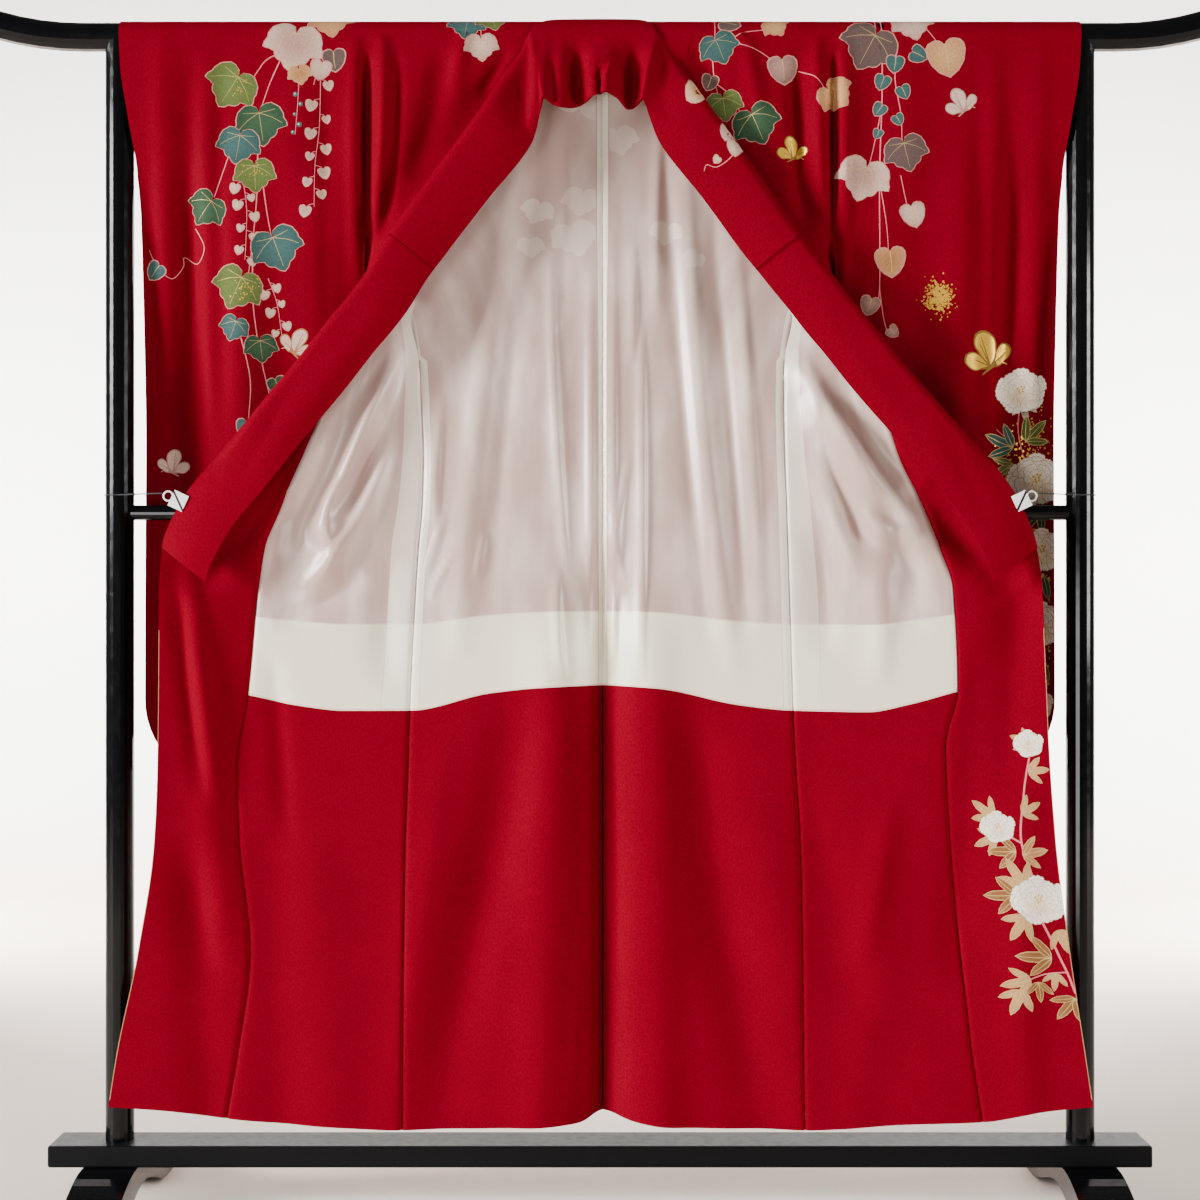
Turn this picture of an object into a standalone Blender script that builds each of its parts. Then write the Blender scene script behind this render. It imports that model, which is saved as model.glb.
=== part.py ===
"""A furisode, opened out and hung on a black lacquered kimono rack.

Metres, +Z up. The floor is at z = 0 and the viewer stands on the -Y side, so the lining that
shows faces -Y. Left and right are the viewer's, and tables give distances outward from x = 0.
"""

import bisect
import math
from collections import namedtuple

import bmesh
import bpy
from mathutils import Matrix, Vector

COLLECTION = "furisode_on_rack"
CUTTERS = "cutters"

# Walls of cloth, and the clearances between pieces
CREPE = 0.0012
LINING = 0.0010
COLLAR_BAND = 0.0024
SEAM_GAP = 0.0003
SHARP_EDGE = math.radians(40.0)
SAME_HEIGHT = 1e-6

# Rack
BAR_RADIUS = 0.0205
BAR_HEIGHT = 1.692
BAR_HALF_SPAN = 0.930
BAR_END_START = 0.750
BAR_END_RISE = 0.038
BAR_END_STEPS = 6
BAR_FACETS = 6
POST_FACETS = 24
CROSSBAR_FACETS = 20
SEAT_FACETS = 32
SEAT_HALF_LENGTH = 0.100
POST_X = 0.696
POST_RADIUS = 0.0205
CROSSBAR_RADIUS = 0.011
CROSSBAR_HEIGHT = 1.003
BEAM_HALF_LENGTH = 0.790
BEAM_DEPTH = 0.085
BEAM_BOTTOM = 0.064
BEAM_TOP = 0.095
BEAM_EDGE = 0.003
BEAM_EDGE_STEPS = 2
FOOT_X = 0.700
FOOT_WIDTH = 0.078
FOOT_HALF_LENGTH = 0.230
FOOT_PAD = 0.065
FOOT_TOE = 0.022
FOOT_ARCH = 0.034
FOOT_SEAT_MARGIN = 0.006
FOOT_STEPS = 10

# Cloth over the bar: its middle surface stands this far from the bar's centre
BAR_CLEARANCE = 0.0008
COLLAR_CLEARANCE = 0.0012
CLOTH_RADIUS = BAR_RADIUS + BAR_CLEARANCE + CREPE / 2
COLLAR_RADIUS = BAR_RADIUS + COLLAR_CLEARANCE + COLLAR_BAND / 2
BAR_STEPS = 8

# Garment, outward from the middle of the rack
CENTRE_SEAM = 0.004
SLEEVE_SEAM = 0.340
HEM_HEIGHT = 0.114
LINING_FOOT = 0.730
BLEND_HEIGHT = 0.25

# Heights of the cross rows, from the hem up. The lining ends on the row at LINING_FOOT.
FACING_ROWS = (HEM_HEIGHT, 0.20, 0.31, 0.42, 0.53, 0.63, LINING_FOOT)
LINING_ROWS = (0.82, 0.89, 0.95, 1.02, 1.08, 1.15, 1.225, 1.285, 1.335, 1.38)
SHOULDER_ROWS = (1.425, 1.50, 1.58, 1.65)
ROWS = FACING_ROWS + LINING_ROWS + SHOULDER_ROWS
UNDERARM = 1.425
COLLAR_FOOT = 0.95
OVER_COLLAR_FOOT = 1.38
OKUMI_TIP = 1.335
LINING_TOP_FRONT = 1.335
PANEL_COLUMNS = 8
OKUMI_COLUMNS = 4
COLLAR_COLUMNS = 6

# Sleeves
SLEEVE_BOTTOM = 0.610
SLEEVE_CORNER = 0.120
CUFF_BOTTOM = 1.500
SLEEVE_ROWS = (0.84, 0.95, 1.06, 1.17, 1.28, 1.38) + SHOULDER_ROWS
SLEEVE_CORNER_STEPS = 3
SLEEVE_COLUMNS = 6

# Front panels: a row for each height, with the distance outward of the side seam, of the seam to
# the overlap panel and of the free edge. Up to the collar's foot the edge is the collar seam, and
# above the overlap's tip the two lines are one. The panel turns over behind the collar, where its
# side passes behind its edge.
Front = namedtuple("Front", "z side seam edge")
FRONT_ROWS = {
    "left": (
        Front(BAR_HEIGHT, 0.340, 0.098, 0.098),
        Front(1.580, 0.340, 0.174, 0.174),
        Front(1.500, 0.340, 0.231, 0.231),
        Front(1.425, 0.338, 0.285, 0.285),
        Front(1.380, 0.328, 0.315, 0.315),
        Front(1.335, 0.268, 0.337, 0.342),
        Front(1.285, 0.274, 0.346, 0.382),
        Front(1.225, 0.263, 0.367, 0.428),
        Front(1.150, 0.258, 0.398, 0.490),
        Front(1.080, 0.255, 0.425, 0.545),
        Front(1.020, 0.256, 0.452, 0.592),
        Front(0.950, 0.262, 0.482, 0.622),
        Front(0.890, 0.266, 0.490, 0.627),
        Front(0.730, 0.274, 0.505, 0.629),
        Front(0.630, 0.277, 0.522, 0.631),
        Front(0.530, 0.280, 0.519, 0.636),
        Front(0.370, 0.282, 0.503, 0.660),
        Front(0.210, 0.284, 0.521, 0.689),
        Front(HEM_HEIGHT, 0.285, 0.536, 0.702),
    ),
    "right": (
        Front(BAR_HEIGHT, 0.340, 0.080, 0.080),
        Front(1.580, 0.340, 0.163, 0.163),
        Front(1.500, 0.340, 0.219, 0.219),
        Front(1.425, 0.338, 0.270, 0.270),
        Front(1.380, 0.326, 0.303, 0.303),
        Front(1.335, 0.270, 0.333, 0.338),
        Front(1.285, 0.278, 0.352, 0.378),
        Front(1.225, 0.268, 0.377, 0.425),
        Front(1.150, 0.266, 0.406, 0.490),
        Front(1.080, 0.267, 0.431, 0.550),
        Front(1.020, 0.269, 0.460, 0.593),
        Front(0.950, 0.271, 0.487, 0.621),
        Front(0.890, 0.273, 0.506, 0.630),
        Front(0.730, 0.278, 0.513, 0.637),
        Front(0.660, 0.281, 0.496, 0.640),
        Front(0.530, 0.288, 0.502, 0.650),
        Front(0.370, 0.291, 0.518, 0.671),
        Front(0.210, 0.293, 0.535, 0.692),
        Front(HEM_HEIGHT, 0.295, 0.549, 0.704),
    ),
}

# Depth of each line of the hanging cloth, nearer the viewer being less
Depth = namedtuple("Depth", "z back seam edge")
DEPTHS = (
    Depth(BAR_HEIGHT, CLOTH_RADIUS, -CLOTH_RADIUS, -CLOTH_RADIUS),
    Depth(1.580, 0.0215, -0.031, -0.031),
    Depth(1.500, 0.0190, -0.036, -0.036),
    Depth(1.425, 0.0150, -0.040, -0.040),
    Depth(1.380, 0.0100, -0.043, -0.043),
    Depth(1.335, 0.0055, -0.044, -0.046),
    Depth(1.285, 0.0010, -0.042, -0.048),
    Depth(1.225, -0.0040, -0.039, -0.051),
    Depth(1.080, -0.0150, -0.036, -0.054),
    Depth(0.950, -0.0190, -0.034, -0.056),
    Depth(0.730, -0.0210, -0.031, -0.052),
    Depth(0.420, -0.0220, -0.030, -0.046),
    Depth(HEM_HEIGHT, -0.0220, -0.031, -0.045),
)

# Depth of the front panel's outer edge: the sleeve seam, then the free edge under the arm, then
# the side seam, where the front and the back meet
Side = namedtuple("Side", "z depth")
FRONT_SIDE = (
    Side(BAR_HEIGHT, -CLOTH_RADIUS),
    Side(1.580, -0.0230),
    Side(1.500, -0.0220),
    Side(1.425, -0.0200),
    Side(1.380, -0.0180),
    Side(1.335, -0.0165),
    Side(1.285, -0.0140),
)
SIDE_SEAM_TOP = 1.225

# Side edge of the back panel above the side seam
BACK_SIDE = (Side(BAR_HEIGHT, 0.340), Side(1.425, 0.340), Side(1.380, 0.318), Side(1.285, 0.272))

# Height of the hem and of the lining's foot across the whole width, x from left to right
Edge = namedtuple("Edge", "x z")
HEM = (
    Edge(-0.702, 0.152), Edge(-0.622, 0.145), Edge(-0.536, 0.132), Edge(-0.400, 0.120),
    Edge(-0.285, 0.114), Edge(-0.100, 0.118), Edge(-0.030, 0.123), Edge(0.004, 0.137),
    Edge(0.050, 0.126), Edge(0.110, 0.118), Edge(0.295, 0.114), Edge(0.430, 0.122),
    Edge(0.549, 0.127), Edge(0.628, 0.143), Edge(0.704, 0.152),
)
LINING_EDGE = (
    Edge(-0.505, 0.740), Edge(-0.430, 0.724), Edge(-0.367, 0.717), Edge(-0.274, 0.717),
    Edge(-0.158, 0.742), Edge(-0.080, 0.750), Edge(0.004, 0.753), Edge(0.080, 0.749),
    Edge(0.200, 0.725), Edge(0.278, 0.717), Edge(0.386, 0.715), Edge(0.440, 0.725),
    Edge(0.513, 0.745),
)

# Largest folds of the hanging cloth: a trough or ridge runs from one place to another, and depth
# is how far it stands toward the viewer
Fold = namedtuple("Fold", "top_x top_z foot_x foot_z width depth")
HANGING_FOLDS = (
    Fold(0.004, 0.98, 0.004, 0.10, 0.030, -0.026),
    Fold(-0.070, 0.90, -0.090, 0.10, 0.036, 0.010),
    Fold(-0.120, 0.76, -0.222, 0.16, 0.034, -0.012),
    Fold(-0.215, 0.60, -0.300, 0.10, 0.030, 0.008),
    Fold(0.075, 0.90, 0.085, 0.10, 0.036, 0.010),
    Fold(0.138, 0.74, 0.233, 0.12, 0.034, -0.012),
    Fold(0.225, 0.60, 0.300, 0.10, 0.030, 0.008),
    Fold(0.430, 0.52, 0.365, 0.14, 0.030, 0.009),
    Fold(-0.420, 0.60, -0.385, 0.12, 0.036, 0.009),
    Fold(-0.470, 0.62, -0.455, 0.12, 0.026, -0.008),
    Fold(-0.590, 0.86, -0.545, 0.45, 0.022, 0.009),
    Fold(-0.592, 0.54, -0.560, 0.12, 0.024, -0.009),
    Fold(0.560, 0.86, 0.512, 0.40, 0.020, -0.008),
    Fold(0.602, 0.86, 0.610, 0.12, 0.022, 0.008),
    Fold(-0.300, 1.24, -0.385, 0.98, 0.022, 0.012),
    Fold(-0.345, 1.16, -0.445, 0.94, 0.024, -0.010),
    Fold(0.315, 1.24, 0.400, 0.98, 0.024, 0.012),
    Fold(0.350, 1.12, 0.450, 0.92, 0.024, -0.010),
)
SLEEVE_FOLDS = (
    Fold(0.640, 1.55, 0.634, 0.62, 0.018, 0.006),
    Fold(0.592, 1.50, 0.588, 0.62, 0.022, -0.006),
    Fold(0.530, 1.55, 0.520, 0.62, 0.030, 0.006),
    Fold(0.455, 1.52, 0.455, 0.62, 0.026, -0.005),
    Fold(0.395, 1.55, 0.398, 0.62, 0.026, 0.006),
)
FOLD_FADE = 0.12

# Sleeve: the outer edge's distance outward, the depths of its two layers, and how far open the
# outer edge is as a share of the middle
Sleeve = namedtuple("Sleeve", "z outer front back open")
SLEEVE_TABLE = (
    Sleeve(BAR_HEIGHT, 0.693, -CLOTH_RADIUS, CLOTH_RADIUS, 1.00),
    Sleeve(1.640, 0.690, -0.0228, 0.0250, 1.00),
    Sleeve(1.570, 0.679, -0.0230, 0.0275, 1.00),
    Sleeve(1.500, 0.669, -0.0218, 0.0300, 0.55),
    Sleeve(1.425, 0.664, -0.0200, 0.0315, 0.35),
    Sleeve(1.380, 0.664, -0.0140, 0.0330, 0.25),
    Sleeve(1.280, 0.664, -0.0010, 0.0390, 0.22),
    Sleeve(1.170, 0.664, 0.0120, 0.0450, 0.22),
    Sleeve(1.060, 0.665, 0.0200, 0.0490, 0.22),
    Sleeve(0.950, 0.666, 0.0215, 0.0500, 0.22),
    Sleeve(SLEEVE_BOTTOM, 0.667, 0.0215, 0.0500, 0.22),
)
SLEEVE_BOTTOM_OPEN = 0.22
SLEEVE_BOTTOM_REACH = 0.240
SLEEVE_SEAM_SHARE = 0.40
SLEEVE_FOLD_MARGIN = 1.0 / 6.0
RIM_BULGE = 0.12

# Collar: where it lies across, as an angle below level and a width, by the height of its seam
Band = namedtuple("Band", "z drop width lift")
BANDS = (
    Band(BAR_HEIGHT, 80.0, 0.101, 0.0000),
    Band(1.650, 66.0, 0.095, 0.0006),
    Band(1.580, 45.0, 0.094, 0.0012),
    Band(1.500, 38.0, 0.084, 0.0018),
    Band(1.425, 38.0, 0.082, 0.0030),
    Band(1.380, 38.0, 0.082, 0.0042),
    Band(COLLAR_FOOT, 37.5, 0.082, 0.0042),
)
BAND_BOW = 0.004
BAND_REACH = 0.007

# Back of the neck: the collar's free edge hangs forward over the bar in soft waves
Neck = namedtuple("Neck", "x z depth")
NECK_EDGE = (
    Neck(-0.081, 1.592, -0.044), Neck(-0.055, 1.580, -0.036), Neck(-0.022, 1.590, -0.034),
    Neck(0.003, 1.600, -0.043), Neck(0.022, 1.596, -0.037), Neck(0.040, 1.582, -0.033),
    Neck(0.062, 1.592, -0.044),
)
NECK_START_ANGLE = 92.0
NECK_SET_BACK = 1.5
NECK_ARC_COLUMNS = 4
NECK_CROWDING = 3.0
NECK_STAND_OFF = 0.0025

# Clips that hold the collar's ends open, tied to the posts
CLIP_X = 0.598
CLIP_HEIGHT = 1.016
CLIP_ANGLE = 155.0
CLIP_LENGTH = 0.022
CLIP_WIDTH = 0.024
CLIP_DEPTH = 0.0145
CLIP_SLOT = 0.0102
CLIP_SLOT_REACH = 0.0066
CLIP_SET_BACK = 0.0027
RING_RADIUS = 0.0068
RING_WIRE = 0.0012
RING_FACETS = 20
RING_WIRE_FACETS = 8
TIE_RADIUS = 0.0009
TIE_HEIGHT = 1.0275
TIE_STEPS = 22
TIE_FACETS = 2
TIE_START = 0.0242
TIE_START_RISE = 0.0113
TIE_FIRST_ANGLE = -97.0
TIE_TURN = 330.0
TIE_RISE = 0.003

SIDES = {"left": -1.0, "right": 1.0}


def linear(channel):
    """Turn one sRGB channel, 0 to 1, into linear light."""
    return channel / 12.92 if channel <= 0.04045 else ((channel + 0.055) / 1.055) ** 2.4


def finish(name, colour, roughness, metallic=0.0):
    """Return a plain Principled material of an sRGB hex colour."""
    material = bpy.data.materials.new(name)
    material.use_nodes = True
    shader = material.node_tree.nodes["Principled BSDF"]
    channels = [int(colour[i:i + 2], 16) / 255.0 for i in (0, 2, 4)]
    shader.inputs["Base Color"].default_value = (*[linear(c) for c in channels], 1.0)
    shader.inputs["Roughness"].default_value = roughness
    shader.inputs["Metallic"].default_value = metallic
    return material


def track(rows, key, value):
    """Return a smooth function through one column of a table, with no overshoot at its rows."""
    ordered = sorted(rows, key=lambda row: getattr(row, key))
    keys = [getattr(row, key) for row in ordered]
    values = [getattr(row, value) for row in ordered]
    slopes = [(values[i + 1] - values[i]) / (keys[i + 1] - keys[i]) for i in range(len(keys) - 1)]
    inner = [0.0 if a * b <= 0.0 else 2.0 * a * b / (a + b) for a, b in zip(slopes, slopes[1:])]
    tangents = [slopes[0], *inner, slopes[-1]]

    def at(place):
        place = min(max(place, keys[0]), keys[-1])
        i = min(bisect.bisect_right(keys, place) - 1, len(keys) - 2)
        step = keys[i + 1] - keys[i]
        t = (place - keys[i]) / step
        start = (1.0 + 2.0 * t) * (1.0 - t) ** 2 * values[i] + t * (1.0 - t) ** 2 * step * tangents[i]
        end = t * t * (3.0 - 2.0 * t) * values[i + 1] - t * t * (1.0 - t) * step * tangents[i + 1]
        return start + end

    return at


def smooth(t):
    """Ease from 0 to 1."""
    t = min(max(t, 0.0), 1.0)
    return t * t * (3.0 - 2.0 * t)


def mix(a, b, t):
    """Blend two numbers or points."""
    return a + (b - a) * t


HEM_AT = track(HEM, "x", "z")
LINING_EDGE_AT = track(LINING_EDGE, "x", "z")
BACK_DEPTH_AT = track(DEPTHS, "z", "back")
SEAM_DEPTH_AT = track(DEPTHS, "z", "seam")
EDGE_DEPTH_AT = track(DEPTHS, "z", "edge")
FRONT_SIDE_AT = track(FRONT_SIDE, "z", "depth")
BACK_SIDE_AT = track(BACK_SIDE, "z", "depth")
FRONT_AT = {
    side: {column: track(rows, "z", column) for column in ("side", "seam", "edge")}
    for side, rows in FRONT_ROWS.items()
}
SLEEVE_AT = {column: track(SLEEVE_TABLE, "z", column) for column in ("outer", "front", "back", "open")}
BAND_AT = {column: track(BANDS, "z", column) for column in ("drop", "width", "lift")}
NECK_AT = {column: track(NECK_EDGE, "x", column) for column in ("z", "depth")}


def fold_relief(folds, x, z):
    """Return how far the folds move the cloth toward the viewer at a place."""
    relief = 0.0
    for fold in folds:
        run = (fold.top_z - z) / (fold.top_z - fold.foot_z)
        fade = smooth((fold.top_z - z) / FOLD_FADE) * smooth((z - fold.foot_z) / FOLD_FADE + 1.0)
        offset = (x - mix(fold.top_x, fold.foot_x, min(max(run, 0.0), 1.0))) / fold.width
        relief += fold.depth * fade * math.exp(-offset * offset)
    return relief


def settled(x, y, z):
    """Place a point of the hanging cloth: add the folds, and follow the hem and the lining's foot."""
    y -= fold_relief(HANGING_FOLDS, x, z)
    hem_share = max(0.0, 1.0 - (z - HEM_HEIGHT) / BLEND_HEIGHT)
    foot_share = max(0.0, 1.0 - abs(z - LINING_FOOT) / BLEND_HEIGHT)
    lift = hem_share * (HEM_AT(x) - HEM_HEIGHT) + foot_share * (LINING_EDGE_AT(x) - LINING_FOOT)
    return Vector((x, y, z + lift))


def back_side(side, z):
    """Return the outward distance of the back panel's side edge."""
    return FRONT_AT[side]["side"](z) if z <= SIDE_SEAM_TOP else BACK_SIDE_AT(z)


def back_point(side, share, z):
    """Return a point of the back panel, share 0 at its side and 1 at the centre seam."""
    x = mix(SIDES[side] * back_side(side, z), CENTRE_SEAM, share)
    return settled(x, BACK_DEPTH_AT(z), z)


def front_side_depth(z):
    """Return the depth of the front panel's side edge, which joins the back's at the side seam."""
    if z <= SIDE_SEAM_TOP:
        return BACK_DEPTH_AT(z)
    low, high = SIDE_SEAM_TOP, FRONT_SIDE[-1].z
    if z < high:
        return mix(BACK_DEPTH_AT(low), FRONT_SIDE[-1].depth, (z - low) / (high - low))
    return FRONT_SIDE_AT(z)


def front_point(side, share, z):
    """Return a point of the front panel, share 0 at its side and 1 at the overlap's seam."""
    at = FRONT_AT[side]
    x = mix(at["side"](z), at["seam"](z), share)
    y = mix(front_side_depth(z), SEAM_DEPTH_AT(z), share)
    return settled(SIDES[side] * x, y, z)


def okumi_point(side, share, z):
    """Return a point of the overlap panel, share 0 at its seam and 1 at the free edge."""
    at = FRONT_AT[side]
    x = mix(at["seam"](z), at["edge"](z), share)
    y = mix(SEAM_DEPTH_AT(z), EDGE_DEPTH_AT(z), share)
    return settled(SIDES[side] * x, y, z)


def neck_x(side, angle):
    """Return where the neck line crosses the bar, by the angle over it from the back."""
    run = min(max((180.0 - angle) / (180.0 - NECK_START_ANGLE), 0.0), 1.0)
    outer = SIDES[side] * FRONT_ROWS[side][0].edge
    return mix(CENTRE_SEAM, outer, math.sqrt(1.0 - run * run))


def over_bar(x, angle, radius):
    """Return a point over the bar, at an angle that starts at the back and ends at the front."""
    turn = math.radians(angle)
    return Vector((x, radius * math.cos(turn), BAR_HEIGHT + radius * math.sin(turn)))


def body_lattice(side):
    """Return the rows of one body panel: up the back, over the bar and down the front."""
    shares = [j / PANEL_COLUMNS for j in range(PANEL_COLUMNS + 1)]
    rows = [[back_point(side, s, z) for s in shares] for z in ROWS]
    for k in range(BAR_STEPS + 1):
        angle = 180.0 * k / BAR_STEPS
        inner = neck_x(side, angle) if angle > 90.0 else CENTRE_SEAM
        outer = SIDES[side] * SLEEVE_SEAM
        rows.append([over_bar(mix(outer, inner, s), angle, CLOTH_RADIUS) for s in shares])
    rows += [[front_point(side, s, z) for s in shares] for z in reversed(ROWS)]
    return rows


def okumi_lattice(side):
    """Return the rows of one overlap panel, from its tip down to the hem."""
    shares = [j / OKUMI_COLUMNS for j in range(OKUMI_COLUMNS + 1)]
    heights = [z for z in reversed(ROWS) if z <= OKUMI_TIP]
    return [[okumi_point(side, s, z) for s in shares] for z in heights]


def lattice_normals(lattice, sign):
    """Return the unit normal at each point of a lattice, turned to the outside by its sign."""
    normals = []
    last_row, last_column = len(lattice) - 1, len(lattice[0]) - 1
    for i, row in enumerate(lattice):
        below, above = lattice[max(i - 1, 0)], lattice[min(i + 1, last_row)]
        line = []
        for j in range(last_column + 1):
            along = above[j] - below[j]
            across = row[min(j + 1, last_column)] - row[max(j - 1, 0)]
            line.append(sign * along.cross(across).normalized())
        normals.append(line)
    return normals


def drawn_in(lattice):
    """Return the lattice with its border drawn in by half a seam gap."""
    inset = SEAM_GAP / 2
    points = [[p.copy() for p in row] for row in lattice]
    for row in points:
        for end, neighbour in ((0, 1), (-1, -2)):
            row[end] += (row[neighbour] - row[end]).normalized() * inset
    for end, neighbour in ((0, 1), (-1, -2)):
        moved = [a + (b - a).normalized() * inset for a, b in zip(points[end], points[neighbour])]
        points[end] = moved
    return points


def thickened(name, points, normals, triangles, near, far, material):
    """Make a closed wall between two distances out from a surface of triangles."""
    count = len(points)
    vertices = [p + n * near for p, n in zip(points, normals)]
    vertices += [p + n * far for p, n in zip(points, normals)]
    directed = {(t[k], t[(k + 1) % 3]) for t in triangles for k in range(3)}
    border = sorted((a, b) for a, b in directed if (b, a) not in directed)
    faces = [tuple(reversed(t)) for t in triangles]
    faces += [tuple(v + count for v in t) for t in triangles]
    for a, b in border:
        faces += [(a, b, b + count), (a, b + count, a + count)]
    mesh = bpy.data.meshes.new(name)
    mesh.from_pydata(vertices, [], faces)
    surface = bmesh.new()
    surface.from_mesh(mesh)
    bmesh.ops.recalc_face_normals(surface, faces=surface.faces)
    surface.to_mesh(mesh)
    surface.free()
    mesh.shade_smooth()
    mesh.set_sharp_from_angle(angle=SHARP_EDGE)
    mesh.materials.append(material)
    return add_part(name, mesh)


def add_part(name, mesh):
    """Put a mesh in the object's own collection."""
    part = bpy.data.objects.new(name, mesh)
    bpy.data.collections[COLLECTION].objects.link(part)
    return part


def lattice_triangles(row_count, columns):
    """Return the triangles of a lattice, all cut along the same diagonal."""
    triangles = []
    for i in range(row_count - 1):
        for j in range(columns - 1):
            a, b = i * columns + j, i * columns + j + 1
            c, d = a + columns, b + columns
            triangles += [(a, b, d), (a, d, c)]
    return triangles


def cloth(name, lattice, normals, near, far, material):
    """Make the wall of one panel from its lattice, with its border drawn in for the seams."""
    points = drawn_in(lattice)
    triangles = lattice_triangles(len(lattice), len(lattice[0]))
    flat_points = [p for row in points for p in row]
    flat_normals = [n for row in normals for n in row]
    return thickened(name, flat_points, flat_normals, triangles, near, far, material)


def rows_between(lattice, heights, low, high):
    """Return the rows of a lattice whose heights lie from low to high."""
    return [row for row, z in zip(lattice, heights) if low - SAME_HEIGHT <= z <= high + SAME_HEIGHT]


def body_surface(side):
    """Return the lattice of one body panel and its normals."""
    lattice = body_lattice(side)
    return lattice, lattice_normals(lattice, -SIDES[side])


def okumi_surface(side):
    """Return the lattice of one overlap panel and its normals."""
    lattice = okumi_lattice(side)
    return lattice, lattice_normals(lattice, -SIDES[side])


def share_normals(first, second):
    """Give the points that face each other across a seam one mean normal."""
    for (normals_a, row_a, column_a), (normals_b, row_b, column_b) in zip(first, second):
        mean = (normals_a[row_a][column_a] + normals_b[row_b][column_b]).normalized()
        normals_a[row_a][column_a] = mean
        normals_b[row_b][column_b] = mean


def make_body(side, surface, finishes):
    """Make one body panel with the lining and the facing that lie on its inner face."""
    lattice, normals = surface
    cloth(f"body_{side}", lattice, normals, -CREPE / 2, CREPE / 2, finishes["crepe"])
    near = -(CREPE / 2 + SEAM_GAP + LINING)
    far = -(CREPE / 2 + SEAM_GAP)
    count = len(ROWS)
    layers = (
        ("lining_back", slice(0, count), ROWS, LINING_FOOT, SHOULDER_ROWS[-1], "lining"),
        ("facing_back", slice(0, count), ROWS, HEM_HEIGHT, LINING_FOOT, "facing"),
        ("lining_front", slice(-count, None), ROWS[::-1], LINING_FOOT, LINING_TOP_FRONT, "lining"),
        ("facing_front", slice(-count, None), ROWS[::-1], HEM_HEIGHT, LINING_FOOT, "facing"),
    )
    for name, part, heights, low, high, colour in layers:
        own_rows = rows_between(lattice[part], heights, low, high)
        own_normals = rows_between(normals[part], heights, low, high)
        cloth(f"{name}_{side}", own_rows, own_normals, near, far, finishes[colour])


def make_okumi(side, surface, finishes):
    """Make one overlap panel and the red facing on its inner side."""
    lattice, normals = surface
    near = -(CREPE / 2 + SEAM_GAP + LINING)
    far = -(CREPE / 2 + SEAM_GAP)
    cloth(f"okumi_{side}", lattice, normals, -CREPE / 2, CREPE / 2, finishes["crepe"])
    cloth(f"facing_okumi_{side}", lattice, normals, near, far, finishes["facing"])


def sleeve_outline(z):
    """Return how far the sleeve's round lower corner draws its outer edge in."""
    height = (z - SLEEVE_BOTTOM) / SLEEVE_CORNER
    if height >= 1.0:
        return 0.0
    return SLEEVE_CORNER * (1.0 - math.sqrt(max(0.0, 1.0 - (1.0 - height) ** 2)))


def sleeve_point(side, share, z, layer):
    """Return a point of a sleeve, share 0 at its inner edge, layer -1 in front and 1 behind."""
    outer = SLEEVE_AT["outer"](z) - sleeve_outline(z)
    x = mix(SLEEVE_SEAM, outer, share)
    front, back = SLEEVE_AT["front"](z), SLEEVE_AT["back"](z)
    if z >= UNDERARM:
        seam_share = smooth(1.0 - share / SLEEVE_SEAM_SHARE)
        front = mix(front, FRONT_SIDE_AT(z), seam_share)
        back = mix(back, BACK_DEPTH_AT(z), seam_share)
    middle, half = (front + back) / 2, (back - front) / 2
    edge_open = mix(1.0, SLEEVE_AT["open"](z), smooth(share * 2.0 - 1.0))
    foot_open = mix(SLEEVE_BOTTOM_OPEN, 1.0, smooth((z - SLEEVE_BOTTOM) / SLEEVE_BOTTOM_REACH))
    fade = smooth(share / SLEEVE_FOLD_MARGIN) * smooth((1.0 - share) / SLEEVE_FOLD_MARGIN)
    relief = fade * fold_relief(SLEEVE_FOLDS, x, z)
    y = middle + layer * half * min(edge_open, foot_open) - relief
    return Vector((SIDES[side] * x, y, z))


def sleeve_rows():
    """Return the heights of a sleeve's rows, close together round its lower corner."""
    turns = [math.pi / 2 * k / SLEEVE_CORNER_STEPS for k in range(SLEEVE_CORNER_STEPS + 1)]
    return [SLEEVE_BOTTOM + SLEEVE_CORNER * (1.0 - math.cos(t)) for t in turns] + list(SLEEVE_ROWS)


def surface_normals(points, triangles, sign):
    """Return the mean normal at each point of a surface of triangles."""
    sums = [Vector() for _ in points]
    for a, b, c in triangles:
        normal = (points[b] - points[a]).cross(points[c] - points[a])
        for corner in (a, b, c):
            sums[corner] += normal
    return [sign * total.normalized() for total in sums]


def sleeve_surface(side):
    """Return one sleeve's points, triangles and normals: a bag, open at the cuff and inner edge."""
    heights = sleeve_rows()
    shares = [j / SLEEVE_COLUMNS for j in range(SLEEVE_COLUMNS + 1)]
    lattice = [[sleeve_point(side, s, z, 1.0) for s in shares] for z in heights]
    for k in range(BAR_STEPS + 1):
        inner, outer = SIDES[side] * SLEEVE_SEAM, SIDES[side] * SLEEVE_TABLE[0].outer
        angle = 180.0 * k / BAR_STEPS
        lattice.append([over_bar(mix(inner, outer, s), angle, CLOTH_RADIUS) for s in shares])
    lattice += [[sleeve_point(side, s, z, -1.0) for s in shares] for z in reversed(heights)]
    for row in lattice:
        row[0].x += SIDES[side] * SEAM_GAP / 2
    columns = len(shares)
    points = [p for row in lattice for p in row]
    triangles = lattice_triangles(len(lattice), columns)
    back, front = sleeve_rim(heights, len(lattice), columns)
    middle = []
    for a, b in zip(back, front):
        middle.append(len(points))
        points.append(rim_point(side, points[a], points[b]))
    for line, other in ((back, middle), (middle, front)):
        for k in range(len(line) - 1):
            a, b, c, d = line[k], line[k + 1], other[k], other[k + 1]
            triangles += [(a, b, d), (a, d, c)]
    return points, triangles, surface_normals(points, triangles, -SIDES[side])


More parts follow.
